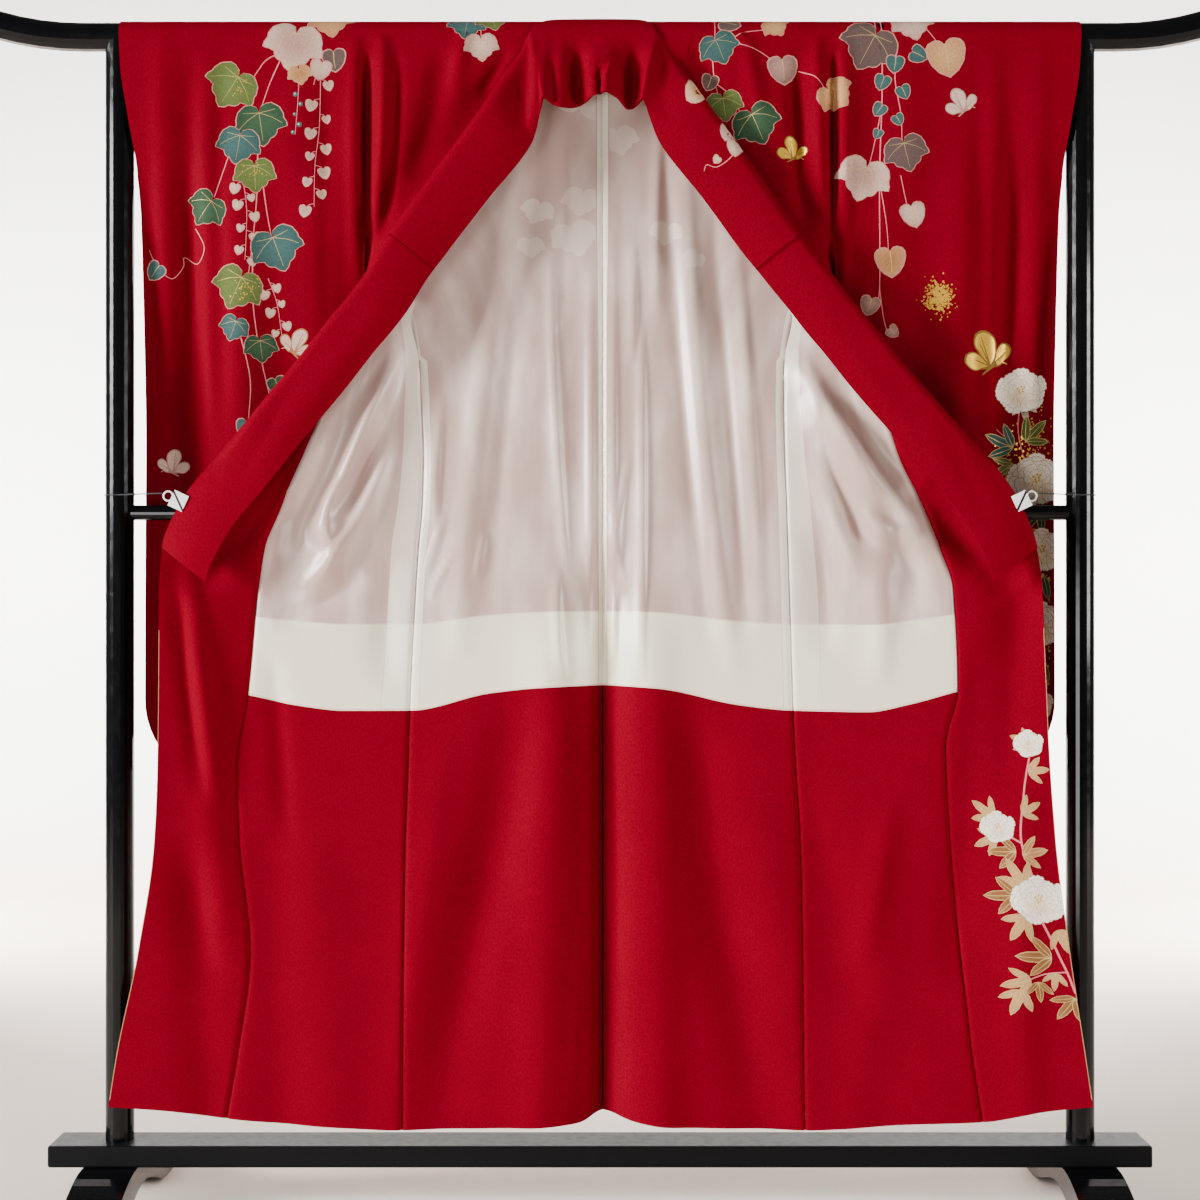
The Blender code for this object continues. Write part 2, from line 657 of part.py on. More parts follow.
def sleeve_rim(heights, row_count, columns):
    """Return the point numbers along the sewn rim, from the cuff round to the inner edge."""
    sewn = [i for i, z in enumerate(heights) if z <= CUFF_BOTTOM + SAME_HEIGHT]
    back = [i * columns + columns - 1 for i in reversed(sewn)]
    back += list(range(columns - 2, -1, -1))
    front = [(row_count - 1 - i) * columns + columns - 1 for i in reversed(sewn)]
    front += [(row_count - 1) * columns + j for j in range(columns - 2, -1, -1)]
    return back, front


def rim_point(side, back, front):
    """Return the outermost point of the sewn rim between its two layers."""
    bulge = RIM_BULGE * (back.y - front.y)
    middle = (front + back) / 2
    share = smooth((middle.z - SLEEVE_BOTTOM) / SLEEVE_CORNER)
    return middle + Vector((SIDES[side] * bulge * share, 0.0, -bulge * (1.0 - share)))


def band_row(side, z):
    """Return one row across the collar, from its seam to its free fold."""
    at = FRONT_AT[side]
    turn = math.radians(BAND_AT["drop"](z))
    seam_y = EDGE_DEPTH_AT(z) - BAND_AT["lift"](z)
    seam = Vector((SIDES[side] * at["edge"](z), seam_y, z))
    width = BAND_AT["width"](z)
    across = Vector((-SIDES[side] * width * math.cos(turn), -BAND_REACH, -width * math.sin(turn)))
    row = []
    for k in range(COLLAR_COLUMNS + 1):
        share = k / COLLAR_COLUMNS
        bow = Vector((0.0, -BAND_BOW * math.sin(math.pi * share), 0.0))
        row.append(seam + across * share + bow)
    return row


def neck_row(side, angle):
    """Return one row of the collar at the back of the neck, from its seam down over the bar."""
    top_x = neck_x(side, angle)
    half_turn = math.radians(180.0 - NECK_START_ANGLE) / 2.0
    span = math.sin(math.radians(angle - NECK_START_ANGLE) / 2.0) / math.sin(half_turn)
    angle = min(angle + NECK_SET_BACK, 180.0)
    end = NECK_EDGE[0] if side == "left" else NECK_EDGE[-1]
    foot_x = mix(CENTRE_SEAM, end.x, span)
    foot = Vector((foot_x, NECK_AT["depth"](foot_x), NECK_AT["z"](foot_x)))
    front = over_bar(top_x, 180.0, COLLAR_RADIUS + NECK_STAND_OFF)
    arc = COLLAR_RADIUS * math.radians(180.0 - angle)
    drop = (foot - front).length
    crowding = 1.0 + NECK_CROWDING * (180.0 - angle) / 90.0
    row = []
    for k in range(COLLAR_COLUMNS + 1):
        share = k / COLLAR_COLUMNS
        fall = drop * share ** crowding
        reach = arc * min(k / NECK_ARC_COLUMNS, 1.0) + fall
        if reach < arc:
            radius = COLLAR_RADIUS + NECK_STAND_OFF * reach / arc
            point = over_bar(top_x, angle + math.degrees(reach / COLLAR_RADIUS), radius)
        else:
            point = mix(front, foot, (reach - arc) / drop)
        point.x = mix(top_x, foot_x, reach / (arc + drop))
        row.append(point)
    return row


def collar_lattice():
    """Return the rows of the collar from its left foot round the neck to its right foot."""
    heights = [z for z in ROWS if z >= COLLAR_FOOT - SAME_HEIGHT]
    angles = [180.0 * k / BAR_STEPS for k in range(BAR_STEPS, BAR_STEPS // 2, -1)]
    left = [band_row("left", z) for z in heights] + [neck_row("left", a) for a in angles]
    right = [band_row("right", z) for z in heights] + [neck_row("right", a) for a in angles]
    return left + [neck_row("left", NECK_START_ANGLE)] + right[::-1]


def make_collar(surface, finishes):
    """Make the collar and the over-collar that lies on its middle stretch."""
    lattice, normals = surface
    cloth("collar", lattice, normals, -COLLAR_BAND / 2, COLLAR_BAND / 2, finishes["crepe"])
    heights = [z for z in ROWS if z >= COLLAR_FOOT - SAME_HEIGHT]
    first = heights.index(OVER_COLLAR_FOOT)
    last = len(lattice) - 1 - first
    near = COLLAR_BAND / 2 + SEAM_GAP
    middle, middle_normals = lattice[first:last + 1], normals[first:last + 1]
    cloth("over_collar", middle, middle_normals, near, near + LINING, finishes["crepe"])


def join_seams(bodies, okumis, sleeves, collar):
    """Give both sides of every seam the same normals, so that their walls meet edge to edge."""
    count, bar = len(ROWS), BAR_STEPS + 1
    back_rows = range(count + bar // 2 + 1)
    left, right = bodies["left"][1], bodies["right"][1]
    share_normals([(left, i, PANEL_COLUMNS) for i in back_rows],
                  [(right, i, PANEL_COLUMNS) for i in back_rows])
    last = 2 * count + bar - 1
    side_rows = [i for i, z in enumerate(ROWS) if z <= SIDE_SEAM_TOP + SAME_HEIGHT]
    heights = [z for z in reversed(ROWS) if z <= OKUMI_TIP]
    first_okumi = last + 1 - len(heights)
    sleeve_count = len(sleeve_rows())
    first_sleeve = sleeve_count - len(SHOULDER_ROWS)
    first_body = count - len(SHOULDER_ROWS)
    sewn = range(2 * len(SHOULDER_ROWS) + bar)
    collar_rows = [z for z in ROWS if z >= COLLAR_FOOT - SAME_HEIGHT]
    for side in SIDES:
        body = bodies[side][1]
        share_normals([(body, i, 0) for i in side_rows], [(body, last - i, 0) for i in side_rows])
        okumi = okumis[side][1]
        share_normals([(body, first_okumi + i, PANEL_COLUMNS) for i in range(len(heights))],
                      [(okumi, i, 0) for i in range(len(heights))])
        columns = SLEEVE_COLUMNS + 1
        sleeve = [sleeves[side][2][i * columns:(i + 1) * columns]
                  for i in range(2 * sleeve_count + bar)]
        share_normals([(body, first_body + i, 0) for i in sewn],
                      [(sleeve, first_sleeve + i, 0) for i in sewn])
        for i in sewn:
            sleeves[side][2][(first_sleeve + i) * columns] = sleeve[first_sleeve + i][0]
        shoulder = range(len(SHOULDER_ROWS))
        start = len(collar_rows) - len(SHOULDER_ROWS)
        own = [start + i if side == "left" else len(collar) - 1 - start - i for i in shoulder]
        share_normals([(body, count + bar + len(SHOULDER_ROWS) - 1 - i, PANEL_COLUMNS) for i in shoulder],
                      [(collar, i, 0) for i in own])


def plain_object(name, material):
    """Name the newest primitive, give it its finish and move it to the object's collection."""
    part = bpy.context.object
    part.name = name
    part.data.name = name
    if material is not None:
        part.data.materials.append(material)
    home = COLLECTION if material is not None else CUTTERS
    for collection in list(part.users_collection):
        collection.objects.unlink(part)
    bpy.data.collections[home].objects.link(part)
    if material is None:
        part.display_type = "WIRE"
        part.hide_render = True
    return part


def rod(name, start, end, radius, sides, material):
    """Add a cylinder between two points along one axis."""
    start, end = Vector(start), Vector(end)
    turn = (end - start).to_track_quat("Z", "Y").to_euler()
    bpy.ops.mesh.primitive_cylinder_add(
        vertices=sides, radius=radius, depth=(end - start).length,
        location=(start + end) / 2, rotation=turn)
    part = plain_object(name, material)
    part.data.shade_smooth()
    part.data.set_sharp_from_angle(angle=SHARP_EDGE)
    return part


def cut(part, cutter):
    """Cut one solid by another."""
    modifier = part.modifiers.new(f"cut_by_{cutter.name}", "BOOLEAN")
    modifier.operation = "DIFFERENCE"
    modifier.solver = "EXACT"
    modifier.object = cutter


def wire(name, points, radius, resolution, material):
    """Add a round wire through points, with filled ends."""
    curve = bpy.data.curves.new(name, "CURVE")
    curve.dimensions = "3D"
    curve.bevel_depth = radius
    curve.bevel_resolution = resolution
    curve.use_fill_caps = True
    spline = curve.splines.new("POLY")
    spline.points.add(len(points) - 1)
    for target, point in zip(spline.points, points):
        target.co = (*point, 1.0)
    curve.materials.append(material)
    return add_part(name, curve)


def make_bar(finishes):
    """Make the round top bar, whose two ends turn up."""
    ends = []
    for k in range(BAR_END_STEPS + 1):
        run = k / BAR_END_STEPS
        reach = mix(BAR_END_START, BAR_HALF_SPAN, run)
        ends.append((reach, 0.0, BAR_HEIGHT + BAR_END_RISE * run * run))
    left = [(-x, y, z) for x, y, z in reversed(ends)]
    return wire("top_bar", left + ends, BAR_RADIUS, BAR_FACETS, finishes["lacquer"])


def make_posts(finishes):
    """Make the two posts, seated under the bar, and the crossbar let in between them."""
    reach = BAR_HALF_SPAN
    bar_seat = rod("bar_seat", (-reach, 0, BAR_HEIGHT), (reach, 0, BAR_HEIGHT),
                   BAR_RADIUS + SEAM_GAP, SEAT_FACETS, None)
    crossbar = rod("crossbar", (-POST_X, 0, CROSSBAR_HEIGHT), (POST_X, 0, CROSSBAR_HEIGHT),
                   CROSSBAR_RADIUS, CROSSBAR_FACETS, finishes["lacquer"])
    seat_low = CROSSBAR_HEIGHT - SEAT_HALF_LENGTH
    seat_high = CROSSBAR_HEIGHT + SEAT_HALF_LENGTH
    for side, sign in SIDES.items():
        x = sign * POST_X
        post = rod(f"post_{side}", (x, 0, BEAM_TOP + SEAM_GAP), (x, 0, BAR_HEIGHT),
                   POST_RADIUS, POST_FACETS, finishes["lacquer"])
        cut(post, bar_seat)
        seat = rod(f"post_seat_{side}", (x, 0, seat_low), (x, 0, seat_high),
                   POST_RADIUS + SEAM_GAP, SEAT_FACETS, None)
        cut(crossbar, seat)


def make_beam(finishes):
    """Make the flat base beam that carries both posts."""
    height = BEAM_TOP - BEAM_BOTTOM
    bpy.ops.mesh.primitive_cube_add(size=1.0, location=(0, 0, (BEAM_TOP + BEAM_BOTTOM) / 2))
    beam = plain_object("base_beam", finishes["lacquer"])
    beam.data.transform(Matrix.Diagonal((2 * BEAM_HALF_LENGTH, BEAM_DEPTH, height, 1.0)))
    bevel = beam.modifiers.new("eased_edges", "BEVEL")
    bevel.width = BEAM_EDGE
    bevel.segments = BEAM_EDGE_STEPS


def foot_outline():
    """Return the side view of a foot: a crowned board whose ends rest on flat pads."""
    flat = BEAM_DEPTH / 2 + FOOT_SEAT_MARGIN
    crown = BEAM_BOTTOM - SEAM_GAP
    top = []
    for k in range(FOOT_STEPS + 1):
        run = k / FOOT_STEPS
        y = mix(flat, FOOT_HALF_LENGTH, run)
        top.append((y, mix(FOOT_TOE, crown, math.cos(math.pi / 2 * run) ** 2)))
    inner = FOOT_HALF_LENGTH - FOOT_PAD
    under = []
    for k in range(FOOT_STEPS + 1):
        run = k / FOOT_STEPS
        under.append((mix(inner, 0.0, run), FOOT_ARCH * math.sin(math.pi / 2 * run) ** 2))
    right = top + [(FOOT_HALF_LENGTH, 0.0)] + under
    left = [(-y, z) for y, z in reversed(right[:-1])]
    return right + left


def make_feet(finishes):
    """Make the two arched feet under the beam, below the posts."""
    for side, sign in SIDES.items():
        curve = bpy.data.curves.new(f"foot_{side}", "CURVE")
        curve.dimensions = "2D"
        curve.fill_mode = "BOTH"
        curve.extrude = FOOT_WIDTH / 2
        spline = curve.splines.new("POLY")
        outline = foot_outline()
        spline.points.add(len(outline) - 1)
        for target, (y, z) in zip(spline.points, outline):
            target.co = (y, z, 0.0, 1.0)
        spline.use_cyclic_u = True
        curve.materials.append(finishes["lacquer"])
        foot = add_part(f"foot_{side}", curve)
        foot.rotation_euler = (math.pi / 2, 0.0, math.pi / 2)
        foot.location = (sign * FOOT_X, 0.0, 0.0)


def make_clips(finishes):
    """Make the clips on the collar's outer edges: a slotted jaw with a round grip."""
    depth = EDGE_DEPTH_AT(CLIP_HEIGHT) - CLIP_SET_BACK
    for side, sign in SIDES.items():
        turn = math.radians(CLIP_ANGLE if sign < 0 else 180.0 - CLIP_ANGLE)
        frame = Matrix.Translation((sign * CLIP_X, depth, CLIP_HEIGHT)) @ Matrix.Rotation(-turn, 4, "Y")
        bpy.ops.mesh.primitive_cube_add(size=1.0)
        jaw = plain_object(f"clip_{side}", finishes["plated"])
        jaw.data.transform(Matrix.Diagonal((CLIP_LENGTH, CLIP_DEPTH, CLIP_WIDTH, 1.0)))
        jaw.matrix_world = frame
        bpy.ops.mesh.primitive_cube_add(size=1.0)
        slot = plain_object(f"clip_slot_{side}", None)
        slot.data.transform(Matrix.Diagonal((CLIP_LENGTH, CLIP_SLOT, 2 * CLIP_WIDTH, 1.0)))
        slot.matrix_world = frame @ Matrix.Translation((-CLIP_SLOT_REACH, 0.0, 0.0))
        cut(jaw, slot)
        bpy.ops.mesh.primitive_torus_add(
            major_radius=RING_RADIUS, minor_radius=RING_WIRE,
            major_segments=RING_FACETS, minor_segments=RING_WIRE_FACETS)
        ring = plain_object(f"clip_ring_{side}", None)
        offset = Matrix.Translation((CLIP_LENGTH / 2 + RING_RADIUS - RING_WIRE / 2, 0.0, 0.0))
        ring.matrix_world = frame @ offset @ Matrix.Rotation(math.pi / 2, 4, "X")
        join = jaw.modifiers.new("grip", "BOOLEAN")
        join.operation = "UNION"
        join.solver = "EXACT"
        join.object = ring


def make_ties(finishes):
    """Make the thin ties: from each clip's grip to its post, and once round the post."""
    wrap = POST_RADIUS + SEAM_GAP + TIE_RADIUS
    for side, sign in SIDES.items():
        start_x = sign * (CLIP_X + TIE_START)
        start = (start_x, EDGE_DEPTH_AT(CLIP_HEIGHT) - CLIP_SET_BACK, CLIP_HEIGHT + TIE_START_RISE)
        route = [start]
        for k in range(TIE_STEPS + 1):
            run = k / TIE_STEPS
            angle = math.radians(TIE_FIRST_ANGLE + TIE_TURN * run)
            x = sign * (POST_X + wrap * math.cos(angle))
            route.append((x, wrap * math.sin(angle), TIE_HEIGHT + TIE_RISE * run))
        wire(f"tie_{side}", route, TIE_RADIUS, TIE_FACETS, finishes["cord"])


def main():
    """Clear the scene and build every piece."""
    for item in list(bpy.data.objects):
        bpy.data.objects.remove(item, do_unlink=True)
    for name in (COLLECTION, CUTTERS):
        bpy.context.scene.collection.children.link(bpy.data.collections.new(name))
    finishes = {
        "crepe": finish("red_crepe", "B00020", 0.55),
        "facing": finish("red_facing", "B4001E", 0.50),
        "lining": finish("white_silk", "DCD8D2", 0.35),
        "lacquer": finish("black_lacquer", "0B0B0C", 0.12),
        "plated": finish("plated_steel", "D8DADC", 0.25, 1.0),
        "cord": finish("dark_cord", "15171C", 0.60),
    }
    make_bar(finishes)
    make_posts(finishes)
    make_beam(finishes)
    make_feet(finishes)
    bodies = {side: body_surface(side) for side in SIDES}
    okumis = {side: okumi_surface(side) for side in SIDES}
    sleeves = {side: sleeve_surface(side) for side in SIDES}
    collar = collar_lattice()
    collar_normals = lattice_normals(collar, -1.0)
    join_seams(bodies, okumis, sleeves, collar_normals)
    for side in SIDES:
        make_body(side, bodies[side], finishes)
        make_okumi(side, okumis[side], finishes)
        points, triangles, normals = sleeves[side]
        thickened(f"sleeve_{side}", points, normals, triangles, -CREPE / 2, CREPE / 2,
                  finishes["crepe"])
    make_collar((collar, collar_normals), finishes)
    make_clips(finishes)
    make_ties(finishes)


main()
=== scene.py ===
"""A furisode, opened out over a black lacquered kimono rack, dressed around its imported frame.

Metres, +Z up, floor at z = 0. The viewer stands on the -Y side and sees the lining. Left and right
are the viewer's, and tables give distances outward from the middle of the rack.
"""

from __future__ import annotations

import logging
import math
from dataclasses import dataclass, field
from enum import Enum
from typing import Callable, Iterable, Sequence

import bmesh
import bpy
import numpy as np
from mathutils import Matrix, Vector
from mathutils.geometry import delaunay_2d_cdt

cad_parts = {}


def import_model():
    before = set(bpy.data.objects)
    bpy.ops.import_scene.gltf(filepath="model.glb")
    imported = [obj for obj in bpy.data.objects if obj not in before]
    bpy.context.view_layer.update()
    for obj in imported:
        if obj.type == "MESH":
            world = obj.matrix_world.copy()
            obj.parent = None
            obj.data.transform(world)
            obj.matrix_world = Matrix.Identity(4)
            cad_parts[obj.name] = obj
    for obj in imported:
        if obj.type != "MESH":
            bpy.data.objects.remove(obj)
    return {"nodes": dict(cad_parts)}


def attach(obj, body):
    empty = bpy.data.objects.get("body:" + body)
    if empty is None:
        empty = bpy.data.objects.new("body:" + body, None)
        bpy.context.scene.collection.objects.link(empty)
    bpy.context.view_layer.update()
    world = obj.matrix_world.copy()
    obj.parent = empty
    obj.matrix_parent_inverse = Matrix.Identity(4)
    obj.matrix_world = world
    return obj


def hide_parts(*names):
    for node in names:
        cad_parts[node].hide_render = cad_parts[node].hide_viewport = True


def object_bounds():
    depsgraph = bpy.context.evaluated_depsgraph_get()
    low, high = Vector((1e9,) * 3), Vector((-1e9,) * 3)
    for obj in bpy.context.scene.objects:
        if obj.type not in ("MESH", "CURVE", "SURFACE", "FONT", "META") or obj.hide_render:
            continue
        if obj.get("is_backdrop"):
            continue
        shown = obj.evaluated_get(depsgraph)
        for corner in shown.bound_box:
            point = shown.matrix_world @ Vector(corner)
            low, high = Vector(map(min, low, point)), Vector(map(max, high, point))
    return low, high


LOG = logging.getLogger("furisode")
Array = np.ndarray
SurfaceMap = Callable[[Array, Array], Array]
Material = bpy.types.Material
Socket = bpy.types.NodeSocket
Inputs = dict[str | int, object]
Point = tuple[float, float]
Edges = tuple[Array, Array]

# Rack
BAR_RADIUS = 0.0205
BAR_HEIGHT = 1.692

# Walls of the solids, which the sewn cloth follows
CREPE = 0.0012
LINING = 0.0010
COLLAR_BAND = 0.0024
SEAM_GAP = 0.0003
CLOTH_RADIUS = BAR_RADIUS + 0.0008 + CREPE / 2
COLLAR_RADIUS = BAR_RADIUS + 0.0012 + COLLAR_BAND / 2
QUARTER_TURN = math.pi / 2 * CLOTH_RADIUS
LINING_NEAR = CREPE / 2 + SEAM_GAP + 0.0004
TINY = 1e-9
NO_LENGTH = 1e-12

# Garment, outward from the middle of the rack
CENTRE_SEAM = 0.004
SLEEVE_SEAM = 0.340
CLIP_X = 0.598
CLIP_HEIGHT = 1.016
CLIP_TURN = 155.0
HEM_HEIGHT = 0.114
LINING_FOOT = 0.730
BLEND_HEIGHT = 0.25
UNDERARM = 1.425
COLLAR_FOOT = 0.95
OVER_COLLAR_FOOT = 1.397
OKUMI_TIP = 1.335
LINING_TOP_FRONT = 1.335
SIDE_SEAM_TOP = 1.225

# Sleeves
SLEEVE_BOTTOM = 0.610
SLEEVE_CORNER = 0.120
SLEEVE_BOTTOM_OPEN = 0.22
SLEEVE_BOTTOM_REACH = 0.240
SLEEVE_SEAM_SHARE = 0.40
SLEEVE_SEAM_FADE = 0.045
SLEEVE_CORNER_ROWS = 14
SLEEVE_FOLD_MARGIN = 1.0 / 6.0
CUFF_BOTTOM = 1.500
RIM_BULGE = 0.12


class Side(Enum):
    """Which side of the rack a piece is on, as the viewer sees it."""

    LEFT = "left"
    RIGHT = "right"

    @property
    def sign(self) -> float:
        """Return the side's direction along X."""
        return -1.0 if self is Side.LEFT else 1.0


@dataclass(frozen=True)
class Front:
    """One row of a front panel: where its side, its overlap seam and its free edge are."""

    z: float
    side: float
    seam: float
    edge: float


@dataclass(frozen=True)
class Depth:
    """Depths of the hanging cloth at one height: back panel, overlap seam and free edge."""

    z: float
    back: float
    seam: float
    edge: float


@dataclass(frozen=True)
class Place:
    """One value at one place."""

    at: float
    value: float


@dataclass(frozen=True)
class SleeveRow:
    """A sleeve's outer edge, the depths of its two layers and how far open its edge is."""

    z: float
    outer: float
    front: float
    back: float
    open: float


@dataclass(frozen=True)
class Band:
    """The collar at one height: angle below level, width, and how proud it lies."""

    z: float
    drop: float
    width: float
    lift: float


@dataclass(frozen=True)
class Neck:
    """One place on the free edge of the collar at the back of the neck."""

    x: float
    z: float
    depth: float


def rows_of(kind: type, *rows: tuple) -> tuple:
    """Return a table of one kind of row."""
    return tuple(kind(*row) for row in rows)


FRONT_ROWS = {
    Side.LEFT: rows_of(
        Front,
        (BAR_HEIGHT, 0.34, 0.098, 0.098), (1.58, 0.34, 0.174, 0.174), (1.5, 0.34, 0.231, 0.231),
        (1.425, 0.3405, 0.285, 0.285), (1.38, 0.3405, 0.315, 0.315), (1.338, 0.3405, 0.336, 0.34),
        (1.305, 0.268, 0.342, 0.365), (1.285, 0.274, 0.346, 0.382), (1.225, 0.263, 0.367, 0.428),
        (1.15, 0.258, 0.398, 0.49), (1.08, 0.255, 0.425, 0.545), (1.02, 0.256, 0.452, 0.592),
        (0.95, 0.262, 0.482, 0.622), (0.89, 0.266, 0.49, 0.627), (0.73, 0.274, 0.505, 0.629),
        (0.63, 0.277, 0.522, 0.631), (0.53, 0.28, 0.519, 0.636), (0.37, 0.282, 0.503, 0.66),
        (0.21, 0.284, 0.521, 0.689), (HEM_HEIGHT, 0.285, 0.536, 0.702),
    ),
    Side.RIGHT: rows_of(
        Front,
        (BAR_HEIGHT, 0.34, 0.08, 0.08), (1.58, 0.34, 0.163, 0.163), (1.5, 0.34, 0.219, 0.219),
        (1.425, 0.3405, 0.27, 0.27), (1.38, 0.3405, 0.303, 0.303), (1.338, 0.3405, 0.331, 0.336),
        (1.305, 0.268, 0.344, 0.361), (1.285, 0.278, 0.352, 0.378), (1.225, 0.268, 0.377, 0.425),
        (1.15, 0.266, 0.406, 0.49), (1.08, 0.267, 0.431, 0.55), (1.02, 0.269, 0.46, 0.593),
        (0.95, 0.271, 0.487, 0.621), (0.89, 0.273, 0.506, 0.63), (0.73, 0.278, 0.513, 0.637),
        (0.66, 0.281, 0.496, 0.64), (0.53, 0.288, 0.502, 0.65), (0.37, 0.291, 0.518, 0.671),
        (0.21, 0.293, 0.535, 0.692), (HEM_HEIGHT, 0.295, 0.549, 0.704),
    ),
}

DEPTHS = rows_of(
    Depth,
    (BAR_HEIGHT, CLOTH_RADIUS, -CLOTH_RADIUS, -CLOTH_RADIUS), (1.58, 0.0215, -0.031, -0.031),
    (1.5, 0.019, -0.036, -0.036), (1.425, 0.015, -0.04, -0.04), (1.38, 0.01, -0.043, -0.043),
    (1.335, 0.0055, -0.044, -0.046), (1.285, 0.001, -0.042, -0.048),
    (1.225, -0.004, -0.039, -0.051), (1.08, -0.015, -0.036, -0.054),
    (0.95, -0.019, -0.034, -0.056), (0.73, -0.021, -0.031, -0.052), (0.42, -0.022, -0.03, -0.046),
    (HEM_HEIGHT, -0.022, -0.031, -0.045),
)

FRONT_SIDE = rows_of(
    Place,
    (BAR_HEIGHT, -CLOTH_RADIUS), (1.58, -0.023), (1.5, -0.022), (1.425, -0.02), (1.38, -0.018),
    (1.335, -0.0165), (1.285, -0.014),
)
BACK_SIDE = rows_of(
    Place,
    (BAR_HEIGHT, 0.34), (1.425, 0.34), (1.38, 0.326), (1.285, 0.282), (1.235, 0.273),
)

HEM = rows_of(
    Place,
    (-0.702, 0.152), (-0.622, 0.145), (-0.536, 0.132), (-0.4, 0.12), (-0.285, 0.114),
    (-0.1, 0.118), (-0.03, 0.123), (0.004, 0.137), (0.05, 0.126), (0.11, 0.118), (0.295, 0.114),
    (0.43, 0.122), (0.549, 0.127), (0.628, 0.143), (0.704, 0.152),
)
LINING_EDGE = rows_of(
    Place,
    (-0.505, 0.74), (-0.43, 0.724), (-0.367, 0.717), (-0.274, 0.717), (-0.158, 0.742),
    (-0.08, 0.75), (0.004, 0.753), (0.08, 0.749), (0.2, 0.725), (0.278, 0.717), (0.386, 0.715),
    (0.44, 0.725), (0.513, 0.745),
)

SLEEVE_TABLE = rows_of(
    SleeveRow,
    (BAR_HEIGHT, 0.693, -CLOTH_RADIUS, CLOTH_RADIUS, 1.0), (1.64, 0.69, -0.0228, 0.025, 1.0),
    (1.57, 0.679, -0.023, 0.0275, 1.0), (1.5, 0.669, -0.0218, 0.03, 0.55),
    (1.425, 0.664, -0.02, 0.0315, 0.35), (1.38, 0.664, -0.014, 0.033, 0.25),
    (1.28, 0.664, -0.001, 0.039, 0.22), (1.17, 0.664, 0.012, 0.045, 0.22),
    (1.06, 0.665, 0.02, 0.049, 0.22), (0.95, 0.666, 0.0215, 0.05, 0.22),
    (SLEEVE_BOTTOM, 0.667, 0.0215, 0.05, 0.22),
)

BANDS = rows_of(
    Band,
    (BAR_HEIGHT, 80.0, 0.101, 0.0), (1.65, 66.0, 0.095, 0.0006), (1.58, 45.0, 0.094, 0.0012),
    (1.5, 38.0, 0.088, 0.0018), (1.425, 38.0, 0.086, 0.003), (1.38, 38.0, 0.084, 0.0042),
    (COLLAR_FOOT, 37.5, 0.082, 0.0042),
)
BAND_BOW = 0.004
BAND_REACH = 0.007
# Valley beside the collar's seam, and how quickly the padded collar rises out of it
COLLAR_VALLEY = 0.014
COLLAR_VALLEY_REACH = 0.055
COLLAR_STEP = 0.005
COLLAR_PROUD_SHARE = 1.1
COLLAR_VALLEY_TOP = 1.675
COLLAR_VALLEY_FOOT = 1.060
COLLAR_VALLEY_FADE = 0.080
SIDE_HOLD = 0.25
BAND_FLARE = 0.008
BAND_FLARE_TOP = 1.13

NECK_EDGE = rows_of(
    Neck,
    (-0.081, 1.592, -0.044), (-0.055, 1.58, -0.036), (-0.022, 1.59, -0.034), (0.003, 1.6, -0.043),
    (0.022, 1.596, -0.037), (0.04, 1.582, -0.033), (0.062, 1.592, -0.044),
)
NECK_START_ANGLE = 92.0
NECK_SET_BACK = 1.5
NECK_ARC_SHARE = 4.0 / 6.0
NECK_CROWDING = 3.0
NECK_STAND_OFF = 0.0025
NECK_RIPPLE_START = 1.6
NECK_RUN = 0.150
COLLAR_WIDTH = 0.085


class Track:
    """A smooth function through one column of a table, with no overshoot at its rows."""

    def __init__(self, rows: Iterable[object], key: str, value: str) -> None:
        """Read two columns of a table.

        Args:
            rows: The table's rows.
            key: Name of the column that gives the place.
            value: Name of the column that gives the value there.
        """
        ordered = sorted(rows, key=lambda row: getattr(row, key))
        self.keys = np.array([getattr(row, key) for row in ordered])
        self.values = np.array([getattr(row, value) for row in ordered])
        slopes = np.diff(self.values) / np.diff(self.keys)
        pairs = list(zip(slopes, slopes[1:]))
        inner = [0.0 if a * b <= 0.0 else 2.0 * a * b / (a + b) for a, b in pairs]
        self.tangents = np.array([slopes[0], *inner, slopes[-1]])

    def __call__(self, place: Array | float) -> Array:
        """Return the value at each place.

        Args:
            place: Where to read, held inside the table's ends.

        Returns:
            One value for each place.
        """
        place = np.clip(place, self.keys[0], self.keys[-1])
        i = np.clip(np.searchsorted(self.keys, place, side="right") - 1, 0, len(self.keys) - 2)
        step = self.keys[i + 1] - self.keys[i]
        t = (place - self.keys[i]) / step
        value, slope = self.values, self.tangents
        start = (1 + 2 * t) * (1 - t) ** 2 * value[i] + t * (1 - t) ** 2 * step * slope[i]
        end = t * t * (3 - 2 * t) * value[i + 1] - t * t * (1 - t) * step * slope[i + 1]
        return start + end


def smooth(t: Array | float) -> Array:
    """Ease from 0 to 1."""
    t = np.clip(t, 0.0, 1.0)
    return t * t * (3.0 - 2.0 * t)


def mix(a: Array | float, b: Array | float, t: Array | float) -> Array:
    """Blend two values."""
    return a + (b - a) * t


def over_and_down(drop: Array) -> tuple[Array, Array, Array]:
    """Split distances along a cloth that goes over the bar.

    Args:
        drop: Distance from the bar's top, positive down the front.

    Returns:
        Whether the cloth hangs there, its angle over the bar in degrees, and its height.
    """
    beyond = np.abs(drop) - QUARTER_TURN
    angle = 90.0 + 90.0 * np.clip(drop / QUARTER_TURN, -1.0, 1.0)
    return (beyond > 0.0)[:, None], angle, BAR_HEIGHT - np.clip(beyond, 0.0, None)


